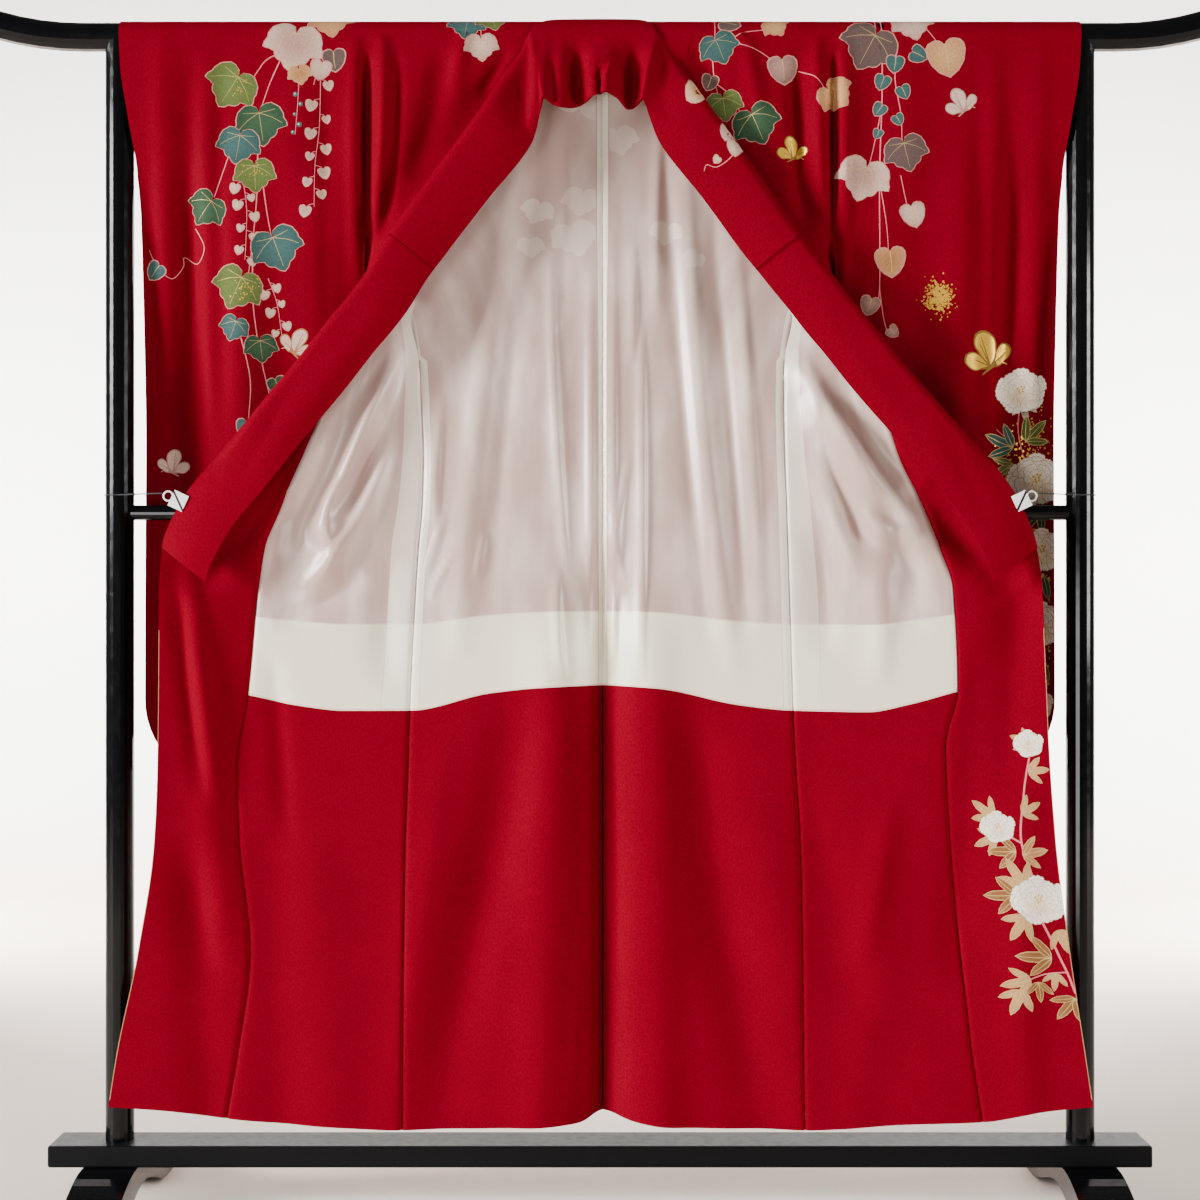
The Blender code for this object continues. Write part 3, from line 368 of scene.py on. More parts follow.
@dataclass(frozen=True)
class Fold:
    """A long trough or ridge that runs from one place of the hanging cloth to another.

    The depth is how far it stands toward the viewer.
    """

    top_x: float
    top_z: float
    foot_x: float
    foot_z: float
    width: float
    depth: float

    FADE = 0.12

    def relief(self, x: Array, z: Array) -> Array:
        """Return how far the fold moves the cloth toward the viewer.

        Args:
            x: Places across.
            z: Heights.

        Returns:
            The relief at each place, in metres.
        """
        run = np.clip((self.top_z - z) / (self.top_z - self.foot_z), 0.0, 1.0)
        fade = smooth((self.top_z - z) / self.FADE) * smooth((z - self.foot_z) / self.FADE + 1.0)
        offset = (x - mix(self.top_x, self.foot_x, run)) / self.width
        return self.depth * fade * np.exp(-offset * offset)


@dataclass(frozen=True)
class Crease:
    """A small soft crease along a bent line, with one steep and one gentle side.

    The line runs from its start by its middle to its end, each an (x, z) place. Depth is toward
    the viewer, and lean is how much wider its side on the right of that line is.
    """

    start: Point
    middle: Point
    end: Point
    width: float
    depth: float
    lean: float = 1.0

    STEPS = 10
    REACH = 2.6
    FADE = 0.8

    def relief(self, x: Array, z: Array) -> Array:
        """Return how far the crease moves the cloth toward the viewer.

        Args:
            x: Places across.
            z: Heights.

        Returns:
            The relief at each place, in metres.
        """
        run = np.linspace(0.0, 1.0, self.STEPS + 1)[:, None]
        a, b, c = (np.array(p) for p in (self.start, self.middle, self.end))
        line = (1 - run) ** 2 * a + 2 * run * (1 - run) * b + run * run * c
        reach = self.REACH * self.width * max(1.0, self.lean)
        low, high = line.min(axis=0) - reach, line.max(axis=0) + reach
        near = (x > low[0]) & (x < high[0]) & (z > low[1]) & (z < high[1])
        relief = np.zeros(x.shape)
        relief[near] = self.depth_along(line, x[near], z[near])
        return relief

    def depth_along(self, line: Array, x: Array, z: Array) -> Array:
        """Return the relief near the crease's line.

        Args:
            line: The places along the crease.
            x: Places across.
            z: Heights.

        Returns:
            The relief at each place, in metres.
        """
        nearest = np.full(x.shape, np.inf)
        along = np.zeros(x.shape)
        across = np.zeros(x.shape)
        for k in range(self.STEPS):
            step = line[k + 1] - line[k]
            length = float(np.hypot(*step))
            dx, dz = x - line[k, 0], z - line[k, 1]
            t = np.clip((dx * step[0] + dz * step[1]) / length**2, 0.0, 1.0)
            distance = np.hypot(dx - t * step[0], dz - t * step[1])
            closer = distance < nearest
            nearest = np.where(closer, distance, nearest)
            along = np.where(closer, (k + t) / self.STEPS, along)
            across = np.where(closer, (step[0] * dz - step[1] * dx) / length, across)
        width = np.where(across < 0.0, self.width * self.lean, self.width)
        fade = np.clip(4.0 * along * (1.0 - along), 0.0, 1.0) ** self.FADE
        return self.depth * fade * np.exp(-((nearest / width) ** 2))


def total_relief(folds: Sequence[Fold | Crease], x: Array, z: Array) -> Array:
    """Add up what every fold does at each place."""
    relief = np.zeros(np.shape(x))
    for fold in folds:
        relief = relief + fold.relief(x, z)
    return relief


# Largest folds of the hanging cloth, which its solids have too, but deeper where it is red
HANGING_FOLDS = rows_of(
    Fold,
    (0.004, 0.98, 0.004, 0.1, 0.03, -0.026), (-0.07, 0.9, -0.09, 0.1, 0.036, 0.01),
    (-0.12, 0.76, -0.222, 0.16, 0.04, -0.006), (-0.215, 0.6, -0.3, 0.1, 0.036, 0.004),
    (0.075, 0.9, 0.085, 0.1, 0.036, 0.01), (0.138, 0.74, 0.233, 0.12, 0.04, -0.006),
    (0.225, 0.6, 0.3, 0.1, 0.036, 0.004), (0.43, 0.52, 0.365, 0.14, 0.036, 0.004),
    (-0.42, 0.6, -0.385, 0.12, 0.044, 0.004), (-0.47, 0.62, -0.455, 0.12, 0.034, -0.004),
    (-0.59, 0.86, -0.545, 0.45, 0.026, 0.006), (-0.592, 0.54, -0.56, 0.12, 0.03, -0.005),
    (0.56, 0.86, 0.512, 0.4, 0.026, -0.005), (0.602, 0.86, 0.61, 0.12, 0.026, 0.005),
    (-0.3, 1.24, -0.385, 0.98, 0.022, 0.012), (-0.345, 1.16, -0.445, 0.94, 0.024, -0.01),
    (0.315, 1.24, 0.4, 0.98, 0.024, 0.012), (0.35, 1.12, 0.45, 0.92, 0.024, -0.01),
)
SLEEVE_FOLDS = rows_of(
    Fold,
    (0.64, 1.55, 0.634, 0.62, 0.018, 0.006), (0.592, 1.5, 0.588, 0.62, 0.022, -0.006),
    (0.53, 1.55, 0.52, 0.62, 0.03, 0.006), (0.455, 1.52, 0.455, 0.62, 0.026, -0.005),
    (0.395, 1.55, 0.398, 0.62, 0.026, 0.006),
)


class Drape:
    """The form that the garment takes on the rack.

    Each method gives one panel's surface. It takes arrays of shares and heights, and returns
    points with one row each. All layers that lie on each other use the same surface, moved out.
    """

    def __init__(self) -> None:
        """Read the tables."""
        self.hem = Track(HEM, "at", "value")
        self.lining_edge = Track(LINING_EDGE, "at", "value")
        self.back_depth = Track(DEPTHS, "z", "back")
        self.seam_depth = Track(DEPTHS, "z", "seam")
        self.edge_depth = Track(DEPTHS, "z", "edge")
        self.front_side_track = Track(FRONT_SIDE, "at", "value")
        self.back_side_track = Track(BACK_SIDE, "at", "value")
        self.front_track = {
            side: {name: Track(rows, "z", name) for name in ("side", "seam", "edge")}
            for side, rows in FRONT_ROWS.items()
        }
        self.sleeve_track = {
            name: Track(SLEEVE_TABLE, "z", name) for name in ("outer", "front", "back", "open")
        }
        self.band_track = {name: Track(BANDS, "z", name) for name in ("drop", "width", "lift")}
        self.neck_track = {name: Track(NECK_EDGE, "x", name) for name in ("z", "depth")}

    def settled(self, x: Array, y: Array, z: Array) -> Array:
        """Add the folds, and follow the hem and the lining's foot.

        Args:
            x: Places across.
            y: Depths of the smooth cloth.
            z: Heights, on the straight grain.

        Returns:
            The points of the hanging cloth.
        """
        y = y - total_relief(HANGING_FOLDS, x, z) - total_relief(FINE_CREASES, x, z)
        hem_share = np.clip(1.0 - (z - HEM_HEIGHT) / BLEND_HEIGHT, 0.0, None)
        foot_share = np.clip(1.0 - np.abs(z - LINING_FOOT) / BLEND_HEIGHT, 0.0, None)
        lift = hem_share * (self.hem(x) - HEM_HEIGHT)
        lift = lift + foot_share * (self.lining_edge(x) - LINING_FOOT)
        return np.stack([x, y, z + lift], axis=-1)

    def seam_valley(self, share: Array, width: Array) -> Array:
        """Return how deep the seams at both edges of a panel draw the cloth in."""
        start = share * width / SEAM_WIDTH
        end = (1.0 - share) * width / SEAM_WIDTH
        return SEAM_DEPTH * (np.exp(-start * start) + np.exp(-end * end))

    def collar_valley(self, z: Array, distance: Array) -> Array:
        """Return how far the cloth dips at a distance from the collar's seam."""
        ends = smooth((COLLAR_VALLEY_TOP - z) / COLLAR_VALLEY_FADE)
        ends = ends * smooth((z - COLLAR_VALLEY_FOOT) / COLLAR_VALLEY_FADE)
        return COLLAR_VALLEY * ends * np.exp(-(distance / COLLAR_VALLEY_REACH) ** 2)

    def back(self, side: Side, share: Array, z: Array) -> Array:
        """Return points of the back panel, share 0 at its side and 1 at the centre seam."""
        low = self.front_track[side]["side"](z)
        outward = np.where(z <= SIDE_SEAM_TOP, low, self.back_side_track(z))
        x = mix(side.sign * outward, CENTRE_SEAM, share)
        return self.settled(x, self.back_depth(z) + self.seam_valley(share, outward), z)

    def front_side_depth(self, z: Array) -> Array:
        """Return the depth of the front panel's side edge, which meets the back's at the seam."""
        low, high = SIDE_SEAM_TOP, FRONT_SIDE[-1].at
        rise = np.clip((z - low) / (high - low), 0.0, 1.0)
        joined = mix(self.back_depth(np.minimum(z, low)), FRONT_SIDE[-1].value, rise)
        return np.where(z < high, joined, self.front_side_track(z))

    def front(self, side: Side, share: Array, z: Array) -> Array:
        """Return points of the front panel, share 0 at its side and 1 at the overlap's seam."""
        track = self.front_track[side]
        x = mix(track["side"](z), track["seam"](z), share)
        y = mix(self.front_side_depth(z), self.seam_depth(z), share)
        width = np.abs(track["side"](z) - track["seam"](z))
        y = y + smooth((SIDE_SEAM_TOP - z) / SEAM_START) * self.seam_valley(share, width)
        upper = smooth((z - OKUMI_TIP) / SEAM_START)
        y = y - upper * total_relief(SHOULDER_CREASES, side.sign * x, z)
        y = y + smooth(share / SIDE_HOLD) * self.collar_valley(z, track["edge"](z) - x)
        return self.settled(side.sign * x, y, z)

    def okumi(self, side: Side, share: Array, z: Array) -> Array:
        """Return points of the overlap panel, share 0 at its seam and 1 at the free edge."""
        track = self.front_track[side]
        x = mix(track["seam"](z), track["edge"](z), share)
        y = mix(self.seam_depth(z), self.edge_depth(z), share)
        valley = share * (track["edge"](z) - track["seam"](z)) / SEAM_WIDTH
        y = y + SEAM_DEPTH * smooth((SIDE_SEAM_TOP - z) / SEAM_START) * np.exp(-valley * valley)
        y = y + self.collar_valley(z, track["edge"](z) - x)
        return self.settled(side.sign * x, y, z)

    def over_bar(self, x: Array, angle: Array, radius: float = CLOTH_RADIUS) -> Array:
        """Return points over the bar, by an angle in degrees from the back to the front.

        Args:
            x: Places along the bar.
            angle: 0 at the back, 90 on top and 180 in front.
            radius: Distance from the bar's centre.

        Returns:
            The points.
        """
        turn = np.radians(angle)
        return np.stack([x, radius * np.cos(turn), BAR_HEIGHT + radius * np.sin(turn)], axis=-1)

    def neck_x(self, side: Side, angle: Array) -> Array:
        """Return where the neck line crosses the bar, by the angle over it from the back."""
        run = np.clip((180.0 - angle) / (180.0 - NECK_START_ANGLE), 0.0, 1.0)
        return mix(CENTRE_SEAM, side.sign * FRONT_ROWS[side][0].edge, np.sqrt(1.0 - run * run))

    def body(self, side: Side, share: Array, drop: Array) -> Array:
        """Return points of a whole body panel by the distance down from the bar's top.

        Args:
            side: Which panel.
            share: 0 at the panel's outer edge and 1 at its inner edge.
            drop: Distance along the cloth from the bar's top, positive down the front.

        Returns:
            The points.
        """
        hangs, angle, z = over_and_down(drop)
        inner = np.where(angle > 90.0, self.neck_x(side, angle), CENTRE_SEAM)
        top = self.over_bar(mix(side.sign * SLEEVE_SEAM, inner, share), angle)
        in_front = (drop > 0.0)[:, None]
        hanging = np.where(in_front, self.front(side, share, z), self.back(side, share, z))
        return np.where(hangs, hanging, top)

    def sleeve_outline(self, z: Array) -> Array:
        """Return how far the sleeve's round lower corner draws its outer edge in."""
        height = np.clip((z - SLEEVE_BOTTOM) / SLEEVE_CORNER, 0.0, 1.0)
        return SLEEVE_CORNER * (1.0 - np.sqrt(np.clip(1.0 - (1.0 - height) ** 2, 0.0, 1.0)))

    def sleeve_layer(self, side: Side, share: Array, z: Array, layer: Array) -> Array:
        """Return points of a sleeve below the bar.

        Args:
            side: Which sleeve.
            share: 0 at the inner edge and 1 at the outer edge.
            z: Heights.
            layer: -1 in front and 1 behind.

        Returns:
            The points.
        """
        x = mix(SLEEVE_SEAM, self.sleeve_track["outer"](z) - self.sleeve_outline(z), share)
        front, back = self.sleeve_track["front"](z), self.sleeve_track["back"](z)
        sewn = np.where(z >= UNDERARM - SLEEVE_SEAM_FADE,
                        smooth(1.0 - share / SLEEVE_SEAM_SHARE), 0.0)
        sewn = sewn * smooth((z - UNDERARM + SLEEVE_SEAM_FADE) / SLEEVE_SEAM_FADE)
        front = mix(front, self.front_side_track(z), sewn)
        back = mix(back, self.back_depth(z), sewn)
        middle, half = (front + back) / 2, (back - front) / 2
        edge_open = mix(1.0, self.sleeve_track["open"](z), smooth(share * 2.0 - 1.0))
        foot_open = mix(SLEEVE_BOTTOM_OPEN, 1.0, smooth((z - SLEEVE_BOTTOM) / SLEEVE_BOTTOM_REACH))
        margin = smooth(share / SLEEVE_FOLD_MARGIN) * smooth((1.0 - share) / SLEEVE_FOLD_MARGIN)
        relief = margin * (total_relief(SLEEVE_FOLDS, x, z) + total_relief(SLEEVE_CREASES, x, z))
        y = middle + layer * half * np.minimum(edge_open, foot_open) - relief
        y = y - np.where(layer < 0.0, total_relief(SHOULDER_CREASES, side.sign * x, z), 0.0)
        return np.stack([side.sign * x, y, z], axis=-1)

    def sleeve(self, side: Side, share: Array, drop: Array) -> Array:
        """Return points of a whole sleeve by the distance down from the bar's top.

        Args:
            side: Which sleeve.
            share: 0 at the inner edge and 1 at the outer edge.
            drop: Distance along the cloth from the bar's top, positive down the front.

        Returns:
            The points.
        """
        hangs, angle, z = over_and_down(drop)
        top = self.over_bar(side.sign * mix(SLEEVE_SEAM, SLEEVE_TABLE[0].outer, share), angle)
        hanging = self.sleeve_layer(side, share, z, np.where(drop > 0.0, -1.0, 1.0))
        return np.where(hangs, hanging, top)

    def band(self, side: Side, share: Array, z: Array) -> Array:
        """Return points of the collar below the bar, share 0 at its seam and 1 at its fold."""
        turn = np.radians(self.band_track["drop"](z))
        width = self.band_track["width"](z)
        x = side.sign * (self.front_track[side]["edge"](z) - share * width * np.cos(turn))
        y = self.edge_depth(z) - self.band_track["lift"](z)
        valley = self.collar_valley(z, np.zeros(z.shape))
        risen = 1.0 - np.exp(-(share * width / COLLAR_STEP) ** 2)
        y = y + valley * (1.0 - risen) - valley * COLLAR_PROUD_SHARE * risen * (1.0 - share)
        y = y - BAND_REACH * share - BAND_BOW * np.sin(math.pi * share)
        y = y - BAND_FLARE * share * smooth((BAND_FLARE_TOP - z) / (BAND_FLARE_TOP - COLLAR_FOOT))
        y = y - total_relief(COLLAR_CREASES, x, z - share * width * np.sin(turn))
        return np.stack([x, y, z - share * width * np.sin(turn)], axis=-1)

    def neck(self, side: Side, share: Array, angle: Array) -> Array:
        """Return points of the collar at the back of the neck.

        Args:
            side: Which half of the collar.
            share: 0 at its seam and 1 at its free fold.
            angle: Where the seam crosses the bar, in degrees from the back.

        Returns:
            The points.
        """
        top_x = self.neck_x(side, angle)
        half_turn = math.radians(180.0 - NECK_START_ANGLE) / 2.0
        span = np.sin(np.radians(angle - NECK_START_ANGLE) / 2.0) / math.sin(half_turn)
        angle = np.minimum(angle + NECK_SET_BACK, 180.0)
        end = NECK_EDGE[0] if side is Side.LEFT else NECK_EDGE[-1]
        foot_x = mix(CENTRE_SEAM, end.x, span)
        depth, height = self.neck_track["depth"](foot_x), self.neck_track["z"](foot_x)
        foot = np.stack([foot_x, depth, height], axis=-1)
        front = self.over_bar(top_x, np.full(top_x.shape, 180.0), COLLAR_RADIUS + NECK_STAND_OFF)
        arc = COLLAR_RADIUS * np.radians(180.0 - angle)
        drop = np.linalg.norm(foot - front, axis=-1)
        crowding = 1.0 + NECK_CROWDING * (180.0 - angle) / 90.0
        fallen = np.sign(share) * np.abs(share) ** crowding
        reach = arc * np.minimum(share / NECK_ARC_SHARE, 1.0) + drop * fallen
        on_bar = reach < arc
        turned = np.clip(reach / np.maximum(arc, TINY), 0.0, 1.0)
        radius = COLLAR_RADIUS + NECK_STAND_OFF * turned
        turn = np.radians(angle + np.degrees(np.minimum(reach, arc) / COLLAR_RADIUS))
        y = np.where(on_bar, radius * np.cos(turn), 0.0)
        z = np.where(on_bar, BAR_HEIGHT + radius * np.sin(turn), 0.0)
        fall = np.clip((reach - arc) / drop, 0.0, 1.0)
        y = np.where(on_bar, y, mix(front[:, 1], foot[:, 1], fall))
        z = np.where(on_bar, z, mix(front[:, 2], foot[:, 2], fall))
        x = mix(top_x, foot_x, reach / (arc + drop))
        for ripple in NECK_RIPPLES:
            offset = (x - ripple.x) / ripple.width
            y = y - smooth(fall * NECK_RIPPLE_START) * ripple.depth * np.exp(-offset * offset)
        return np.stack([x, y, z], axis=-1)


# Small creases, which only the sewn cloth has: start, middle and end, width, depth and lean
FINE_CREASES = rows_of(
    Crease,
    ((-0.073, 1.42), (-0.066, 1.12), (-0.045, 0.9), 0.0048, 0.0062, 2.0),
    ((-0.06, 0.92), (-0.063, 0.82), (-0.052, 0.74), 0.0048, 0.005, 2.0),
    ((0.049, 1.4), (0.05, 1.28), (0.046, 1.21), 0.0048, 0.005, 2.0),
    ((0.06, 1.29), (0.063, 1.08), (0.06, 0.73), 0.0048, 0.0066, 2.0),
    ((0.044, 1.08), (0.01, 0.96), (0.04, 0.88), 0.0048, 0.005, 1.8),
    ((0.026, 0.9), (0.018, 0.83), (0.022, 0.75), 0.0048, 0.0046, 1.8),
    ((-0.014, 1.38), (-0.012, 1.08), (-0.013, 0.74), 0.0046, 0.0044, 1.6),
    ((0.02, 1.42), (0.02, 1.08), (0.019, 0.76), 0.0046, 0.0044, 1.6),
    ((0.088, 1.58), (0.08, 1.4), (0.084, 1.28), 0.006, 0.0045, 1.6),
    ((-0.034, 1.46), (-0.036, 1.1), (-0.03, 0.76), 0.013, -0.0036, 1.6),
    ((-0.226, 1.18), (-0.24, 1.08), (-0.236, 0.96), 0.0058, 0.005, 1.8),
    ((-0.252, 0.91), (-0.24, 0.96), (-0.222, 1.0), 0.0046, 0.004, 1.6),
    ((-0.246, 0.88), (-0.232, 0.92), (-0.206, 0.945), 0.0046, 0.0036, 1.6),
    ((-0.18, 0.9), (-0.172, 0.94), (-0.166, 0.98), 0.0046, 0.0032, 1.6),
    ((-0.108, 1.58), (-0.186, 1.18), (-0.206, 0.78), 0.022, 0.009, 0.9),
    ((-0.078, 1.62), (-0.146, 1.18), (-0.158, 0.84), 0.015, -0.006, 1.4),
    ((-0.048, 1.62), (-0.056, 1.4), (-0.052, 1.28), 0.007, -0.004, 1.6),
    ((0.124, 1.56), (0.132, 1.16), (0.196, 0.76), 0.013, 0.008, 1.3),
    ((0.092, 1.58), (0.116, 1.14), (0.156, 0.8), 0.011, -0.006, 1.3),
    ((0.162, 1.5), (0.19, 1.08), (0.212, 0.82), 0.01, -0.007, 1.4),
    ((0.196, 1.44), (0.222, 1.08), (0.234, 0.84), 0.009, 0.0055, 1.2),
    ((-0.235, 1.262), (0.0, 1.257), (0.225, 1.266), 0.0036, -0.0016, 1.5),
    ((0.285, 1.24), (0.32, 1.12), (0.46, 0.97), 0.015, 0.0182, 1.5),
    ((0.3, 1.17), (0.32, 1.06), (0.372, 0.9), 0.014, 0.0121, 1.5),
    ((0.33, 1.2), (0.38, 1.1), (0.48, 1.01), 0.02, -0.0135, 1.2),
    ((0.312, 1.12), (0.34, 1.0), (0.42, 0.93), 0.013, -0.0108, 1.3),
    ((0.372, 1.0), (0.42, 0.965), (0.492, 0.962), 0.011, 0.0095, 1.4),
    ((0.31, 0.98), (0.33, 0.9), (0.326, 0.8), 0.018, -0.0081, 1.3),
    ((0.395, 0.93), (0.41, 0.86), (0.4, 0.76), 0.018, 0.0081, 1.3),
    ((-0.29, 1.25), (-0.322, 1.12), (-0.42, 0.96), 0.015, 0.0169, 0.8),
    ((-0.302, 1.12), (-0.322, 0.99), (-0.425, 0.895), 0.013, 0.0128, 0.8),
    ((-0.305, 1.17), (-0.345, 1.03), (-0.402, 0.985), 0.014, -0.0162, 1.2),
    ((-0.372, 1.045), (-0.405, 1.0), (-0.385, 0.95), 0.011, 0.0095, 1.2),
    ((-0.4, 1.12), (-0.425, 1.05), (-0.47, 0.99), 0.016, 0.0108, 0.8),
    ((-0.44, 1.03), (-0.47, 0.97), (-0.48, 0.88), 0.015, -0.0095, 1.0),
    ((-0.34, 0.92), (-0.4, 0.86), (-0.47, 0.85), 0.014, -0.0068, 1.0),
    ((-0.3, 0.94), (-0.31, 0.86), (-0.306, 0.76), 0.018, -0.0081, 1.2),
    ((-0.096, 0.72), (-0.15, 0.5), (-0.225, 0.2), 0.034, -0.0085, 1.2),
    ((-0.22, 0.7), (-0.25, 0.5), (-0.286, 0.24), 0.02, 0.0035, 1.4),
    ((-0.018, 0.56), (-0.024, 0.36), (-0.034, 0.13), 0.006, 0.0034, 1.6),
    ((0.018, 0.7), (0.026, 0.5), (0.034, 0.13), 0.0056, -0.004, 1.4),
    ((0.136, 0.72), (0.15, 0.48), (0.235, 0.15), 0.032, -0.008, 1.2),
    ((0.29, 0.66), (0.33, 0.46), (0.372, 0.26), 0.03, -0.006, 1.2),
    ((0.415, 0.6), (0.4, 0.46), (0.372, 0.34), 0.022, 0.008, 1.2),
    ((0.462, 1.04), (0.528, 0.955), (0.592, 0.88), 0.026, -0.019, 1.0),
    ((-0.462, 1.04), (-0.528, 0.955), (-0.588, 0.88), 0.024, -0.014, 1.0),
    ((-0.585, 0.93), (-0.562, 0.71), (-0.543, 0.58), 0.011, 0.009, 1.6),
    ((-0.606, 0.93), (-0.587, 0.71), (-0.566, 0.58), 0.012, -0.009, 1.2),
    ((-0.59, 0.54), (-0.575, 0.42), (-0.556, 0.3), 0.024, -0.007, 1.2),
    ((0.596, 0.96), (0.6, 0.78), (0.59, 0.58), 0.032, -0.019, 1.0),
    ((-0.47, 0.8), (-0.455, 0.64), (-0.45, 0.52), 0.014, -0.005, 1.2),
    ((0.592, 0.52), (0.586, 0.36), (0.6, 0.18), 0.024, 0.005, 1.2),
)
SHOULDER_CREASES = rows_of(
    Crease,
    ((-0.336, 1.668), (-0.336, 1.56), (-0.336, 1.38), 0.0064, -0.015, 1.3),
    ((-0.352, 1.705), (-0.352, 1.56), (-0.352, 1.3), 0.009, 0.008, 1.4),
    ((-0.314, 1.712), (-0.304, 1.57), (-0.324, 1.4), 0.008, 0.009, 1.3),
    ((-0.226, 1.672), (-0.232, 1.6), (-0.272, 1.48), 0.022, -0.009, 0.8),
    ((-0.292, 1.672), (-0.288, 1.56), (-0.31, 1.4), 0.008, -0.006, 1.1),
    ((-0.19, 1.715), (-0.2, 1.66), (-0.212, 1.6), 0.011, 0.006, 1.2),
    ((-0.129, 1.668), (-0.144, 1.66), (-0.172, 1.6), 0.008, -0.006, 1.2),
    ((0.31, 1.712), (0.312, 1.6), (0.322, 1.42), 0.0095, 0.0075, 0.8),
    ((0.337, 1.668), (0.337, 1.56), (0.337, 1.38), 0.0064, -0.015, 0.8),
    ((0.352, 1.705), (0.352, 1.56), (0.352, 1.3), 0.009, 0.008, 0.8),
    ((0.284, 1.672), (0.286, 1.56), (0.298, 1.4), 0.013, -0.014, 1.1),
    ((0.205, 1.712), (0.216, 1.62), (0.24, 1.54), 0.013, 0.007, 1.0),
    ((0.128, 1.668), (0.146, 1.66), (0.18, 1.59), 0.009, -0.007, 1.2),
)
SLEEVE_CREASES = rows_of(
    Crease,
    ((0.63, 1.7), (0.64, 1.45), (0.634, 1.06), 0.016, 0.006, 1.2),
    ((0.588, 1.668), (0.6, 1.42), (0.596, 1.0), 0.015, -0.007, 1.2),
    ((0.566, 1.68), (0.572, 1.4), (0.57, 1.06), 0.014, 0.004, 1.3),
    ((0.545, 1.668), (0.55, 1.44), (0.552, 1.1), 0.013, -0.005, 1.2),
    ((0.44, 1.68), (0.446, 1.42), (0.45, 1.16), 0.024, 0.005, 1.2),
    ((0.39, 1.668), (0.394, 1.46), (0.396, 1.22), 0.014, -0.005, 1.2),
    ((0.6, 1.02), (0.61, 0.86), (0.606, 0.66), 0.016, 0.008, 1.3),
    ((0.56, 1.02), (0.56, 0.86), (0.556, 0.66), 0.018, -0.008, 1.3),
    ((0.65, 1.1), (0.648, 0.9), (0.646, 0.68), 0.012, -0.006, 1.3),
    ((0.455, 1.06), (0.455, 0.86), (0.46, 0.66), 0.02, 0.008, 1.3),
)
COLLAR_CREASES = rows_of(
    Crease,
    ((-0.099, 1.69), (-0.1, 1.62), (-0.096, 1.54), 0.0085, 0.0075, 1.2),
    ((-0.12, 1.676), (-0.112, 1.62), (-0.107, 1.545), 0.007, -0.012, 3.6),
    ((0.092, 1.69), (0.078, 1.62), (0.066, 1.57), 0.0085, 0.007, 1.2),
    ((0.112, 1.672), (0.098, 1.62), (0.092, 1.56), 0.012, -0.007, 1.2),
    ((-0.3, 1.3), (-0.38, 1.19), (-0.47, 1.07), 0.014, 0.002, 1.2),
    ((-0.42, 1.2), (-0.48, 1.1), (-0.52, 1.03), 0.01, -0.0018, 1.2),
    ((0.3, 1.3), (0.38, 1.19), (0.47, 1.07), 0.016, 0.002, 1.2),
    ((0.48, 1.14), (0.52, 1.05), (0.56, 0.97), 0.011, -0.002, 1.2),
)


@dataclass(frozen=True)
class Ripple:
    """A vertical ripple in the back of the collar, which is too long for the turn it makes."""

    x: float
    width: float
    depth: float


NECK_RIPPLES = rows_of(
    Ripple,
    (-0.08, 0.01, 0.008), (-0.056, 0.009, 0.008), (-0.032, 0.013, -0.014), (-0.01, 0.006, 0.006),
    (0.0, 0.003, -0.009), (0.01, 0.008, 0.009), (0.048, 0.013, -0.015), (0.072, 0.01, 0.009),
)

# Seams of the lined body: a narrow valley where the stitches pull all layers together
SEAM_DEPTH = 0.0034
SEAM_WIDTH = 0.0028
SEAM_START = 0.05

ROW_STEP = 0.010
BAR_ROW_STEP = 0.004
COLUMN_STEP = 0.0065
LINING_STEP = 0.0034
SEAM_COLUMNS = (0.0, 0.0014, 0.0030, 0.0052, 0.0085)
WALL = 0.0007
LINING_WALL = 0.0006
NORMAL_STEP = 0.0012


def columns_across(width: float, step: float = COLUMN_STEP) -> Array:
    """Return the shares of a panel's columns, close together beside its seams.

    Args:
        width: The panel's width.
        step: Distance between the columns away from the seams.

    Returns:
        Shares from 0 to 1.
    """
    inset = SEAM_COLUMNS[-1]
    middle = np.linspace(inset, width - inset, max(2, round((width - 2.0 * inset) / step)) + 1)
    seam = np.array(SEAM_COLUMNS[:-1])
    return np.concatenate([seam, middle, width - seam[::-1]]) / width


def rows_down(start: float, end: float, step: float = ROW_STEP) -> Array:
    """Return evenly spaced rows from one end of a panel to the other."""
    return np.linspace(start, end, max(2, round(abs(end - start) / step)) + 1)


def unit(vectors: Array) -> Array:
    """Return vectors of length one, toward the viewer where a vector has no length."""
    length = np.linalg.norm(vectors, axis=-1, keepdims=True)
    return np.where(length > NO_LENGTH, vectors / np.maximum(length, NO_LENGTH), (0.0, -1.0, 0.0))


@dataclass
class Pattern:
    """A panel cut into a grid, before it gets its form: where each point is on the flat cloth.

    Shares run across the panel and rows along it. Faces number the points.
    """

    share: Array
    row: Array
    faces: list[tuple[int, ...]]
    uv: Array
    colour: Array | None = None
    gilt: Array | None = None

    @classmethod
    def plain(cls, shares: Array, rows: Array, width: float) -> Pattern:
        """Cut a plain grid.

        Args:
            shares: The columns, from 0 to 1.
            rows: The rows, along the cloth.
            width: The width of the flat panel.

        Returns:
            The pattern.
        """
        row, share = np.meshgrid(rows, shares, indexing="ij")
        columns = len(shares)
        faces = []
        for i in range(len(rows) - 1):
            for j in range(columns - 1):
                a = i * columns + j
                faces.append((a, a + 1, a + columns + 1, a + columns))
        uv = np.stack([share.ravel() * width, row.ravel()], axis=-1)
        return cls(share.ravel(), row.ravel(), faces, uv)


# A mix of two colours names its sockets as it names those of a mix of numbers, so they are numbered
MIX_FACTOR, MIX_A, MIX_B = 0, 6, 7
MIX_OUT = 2


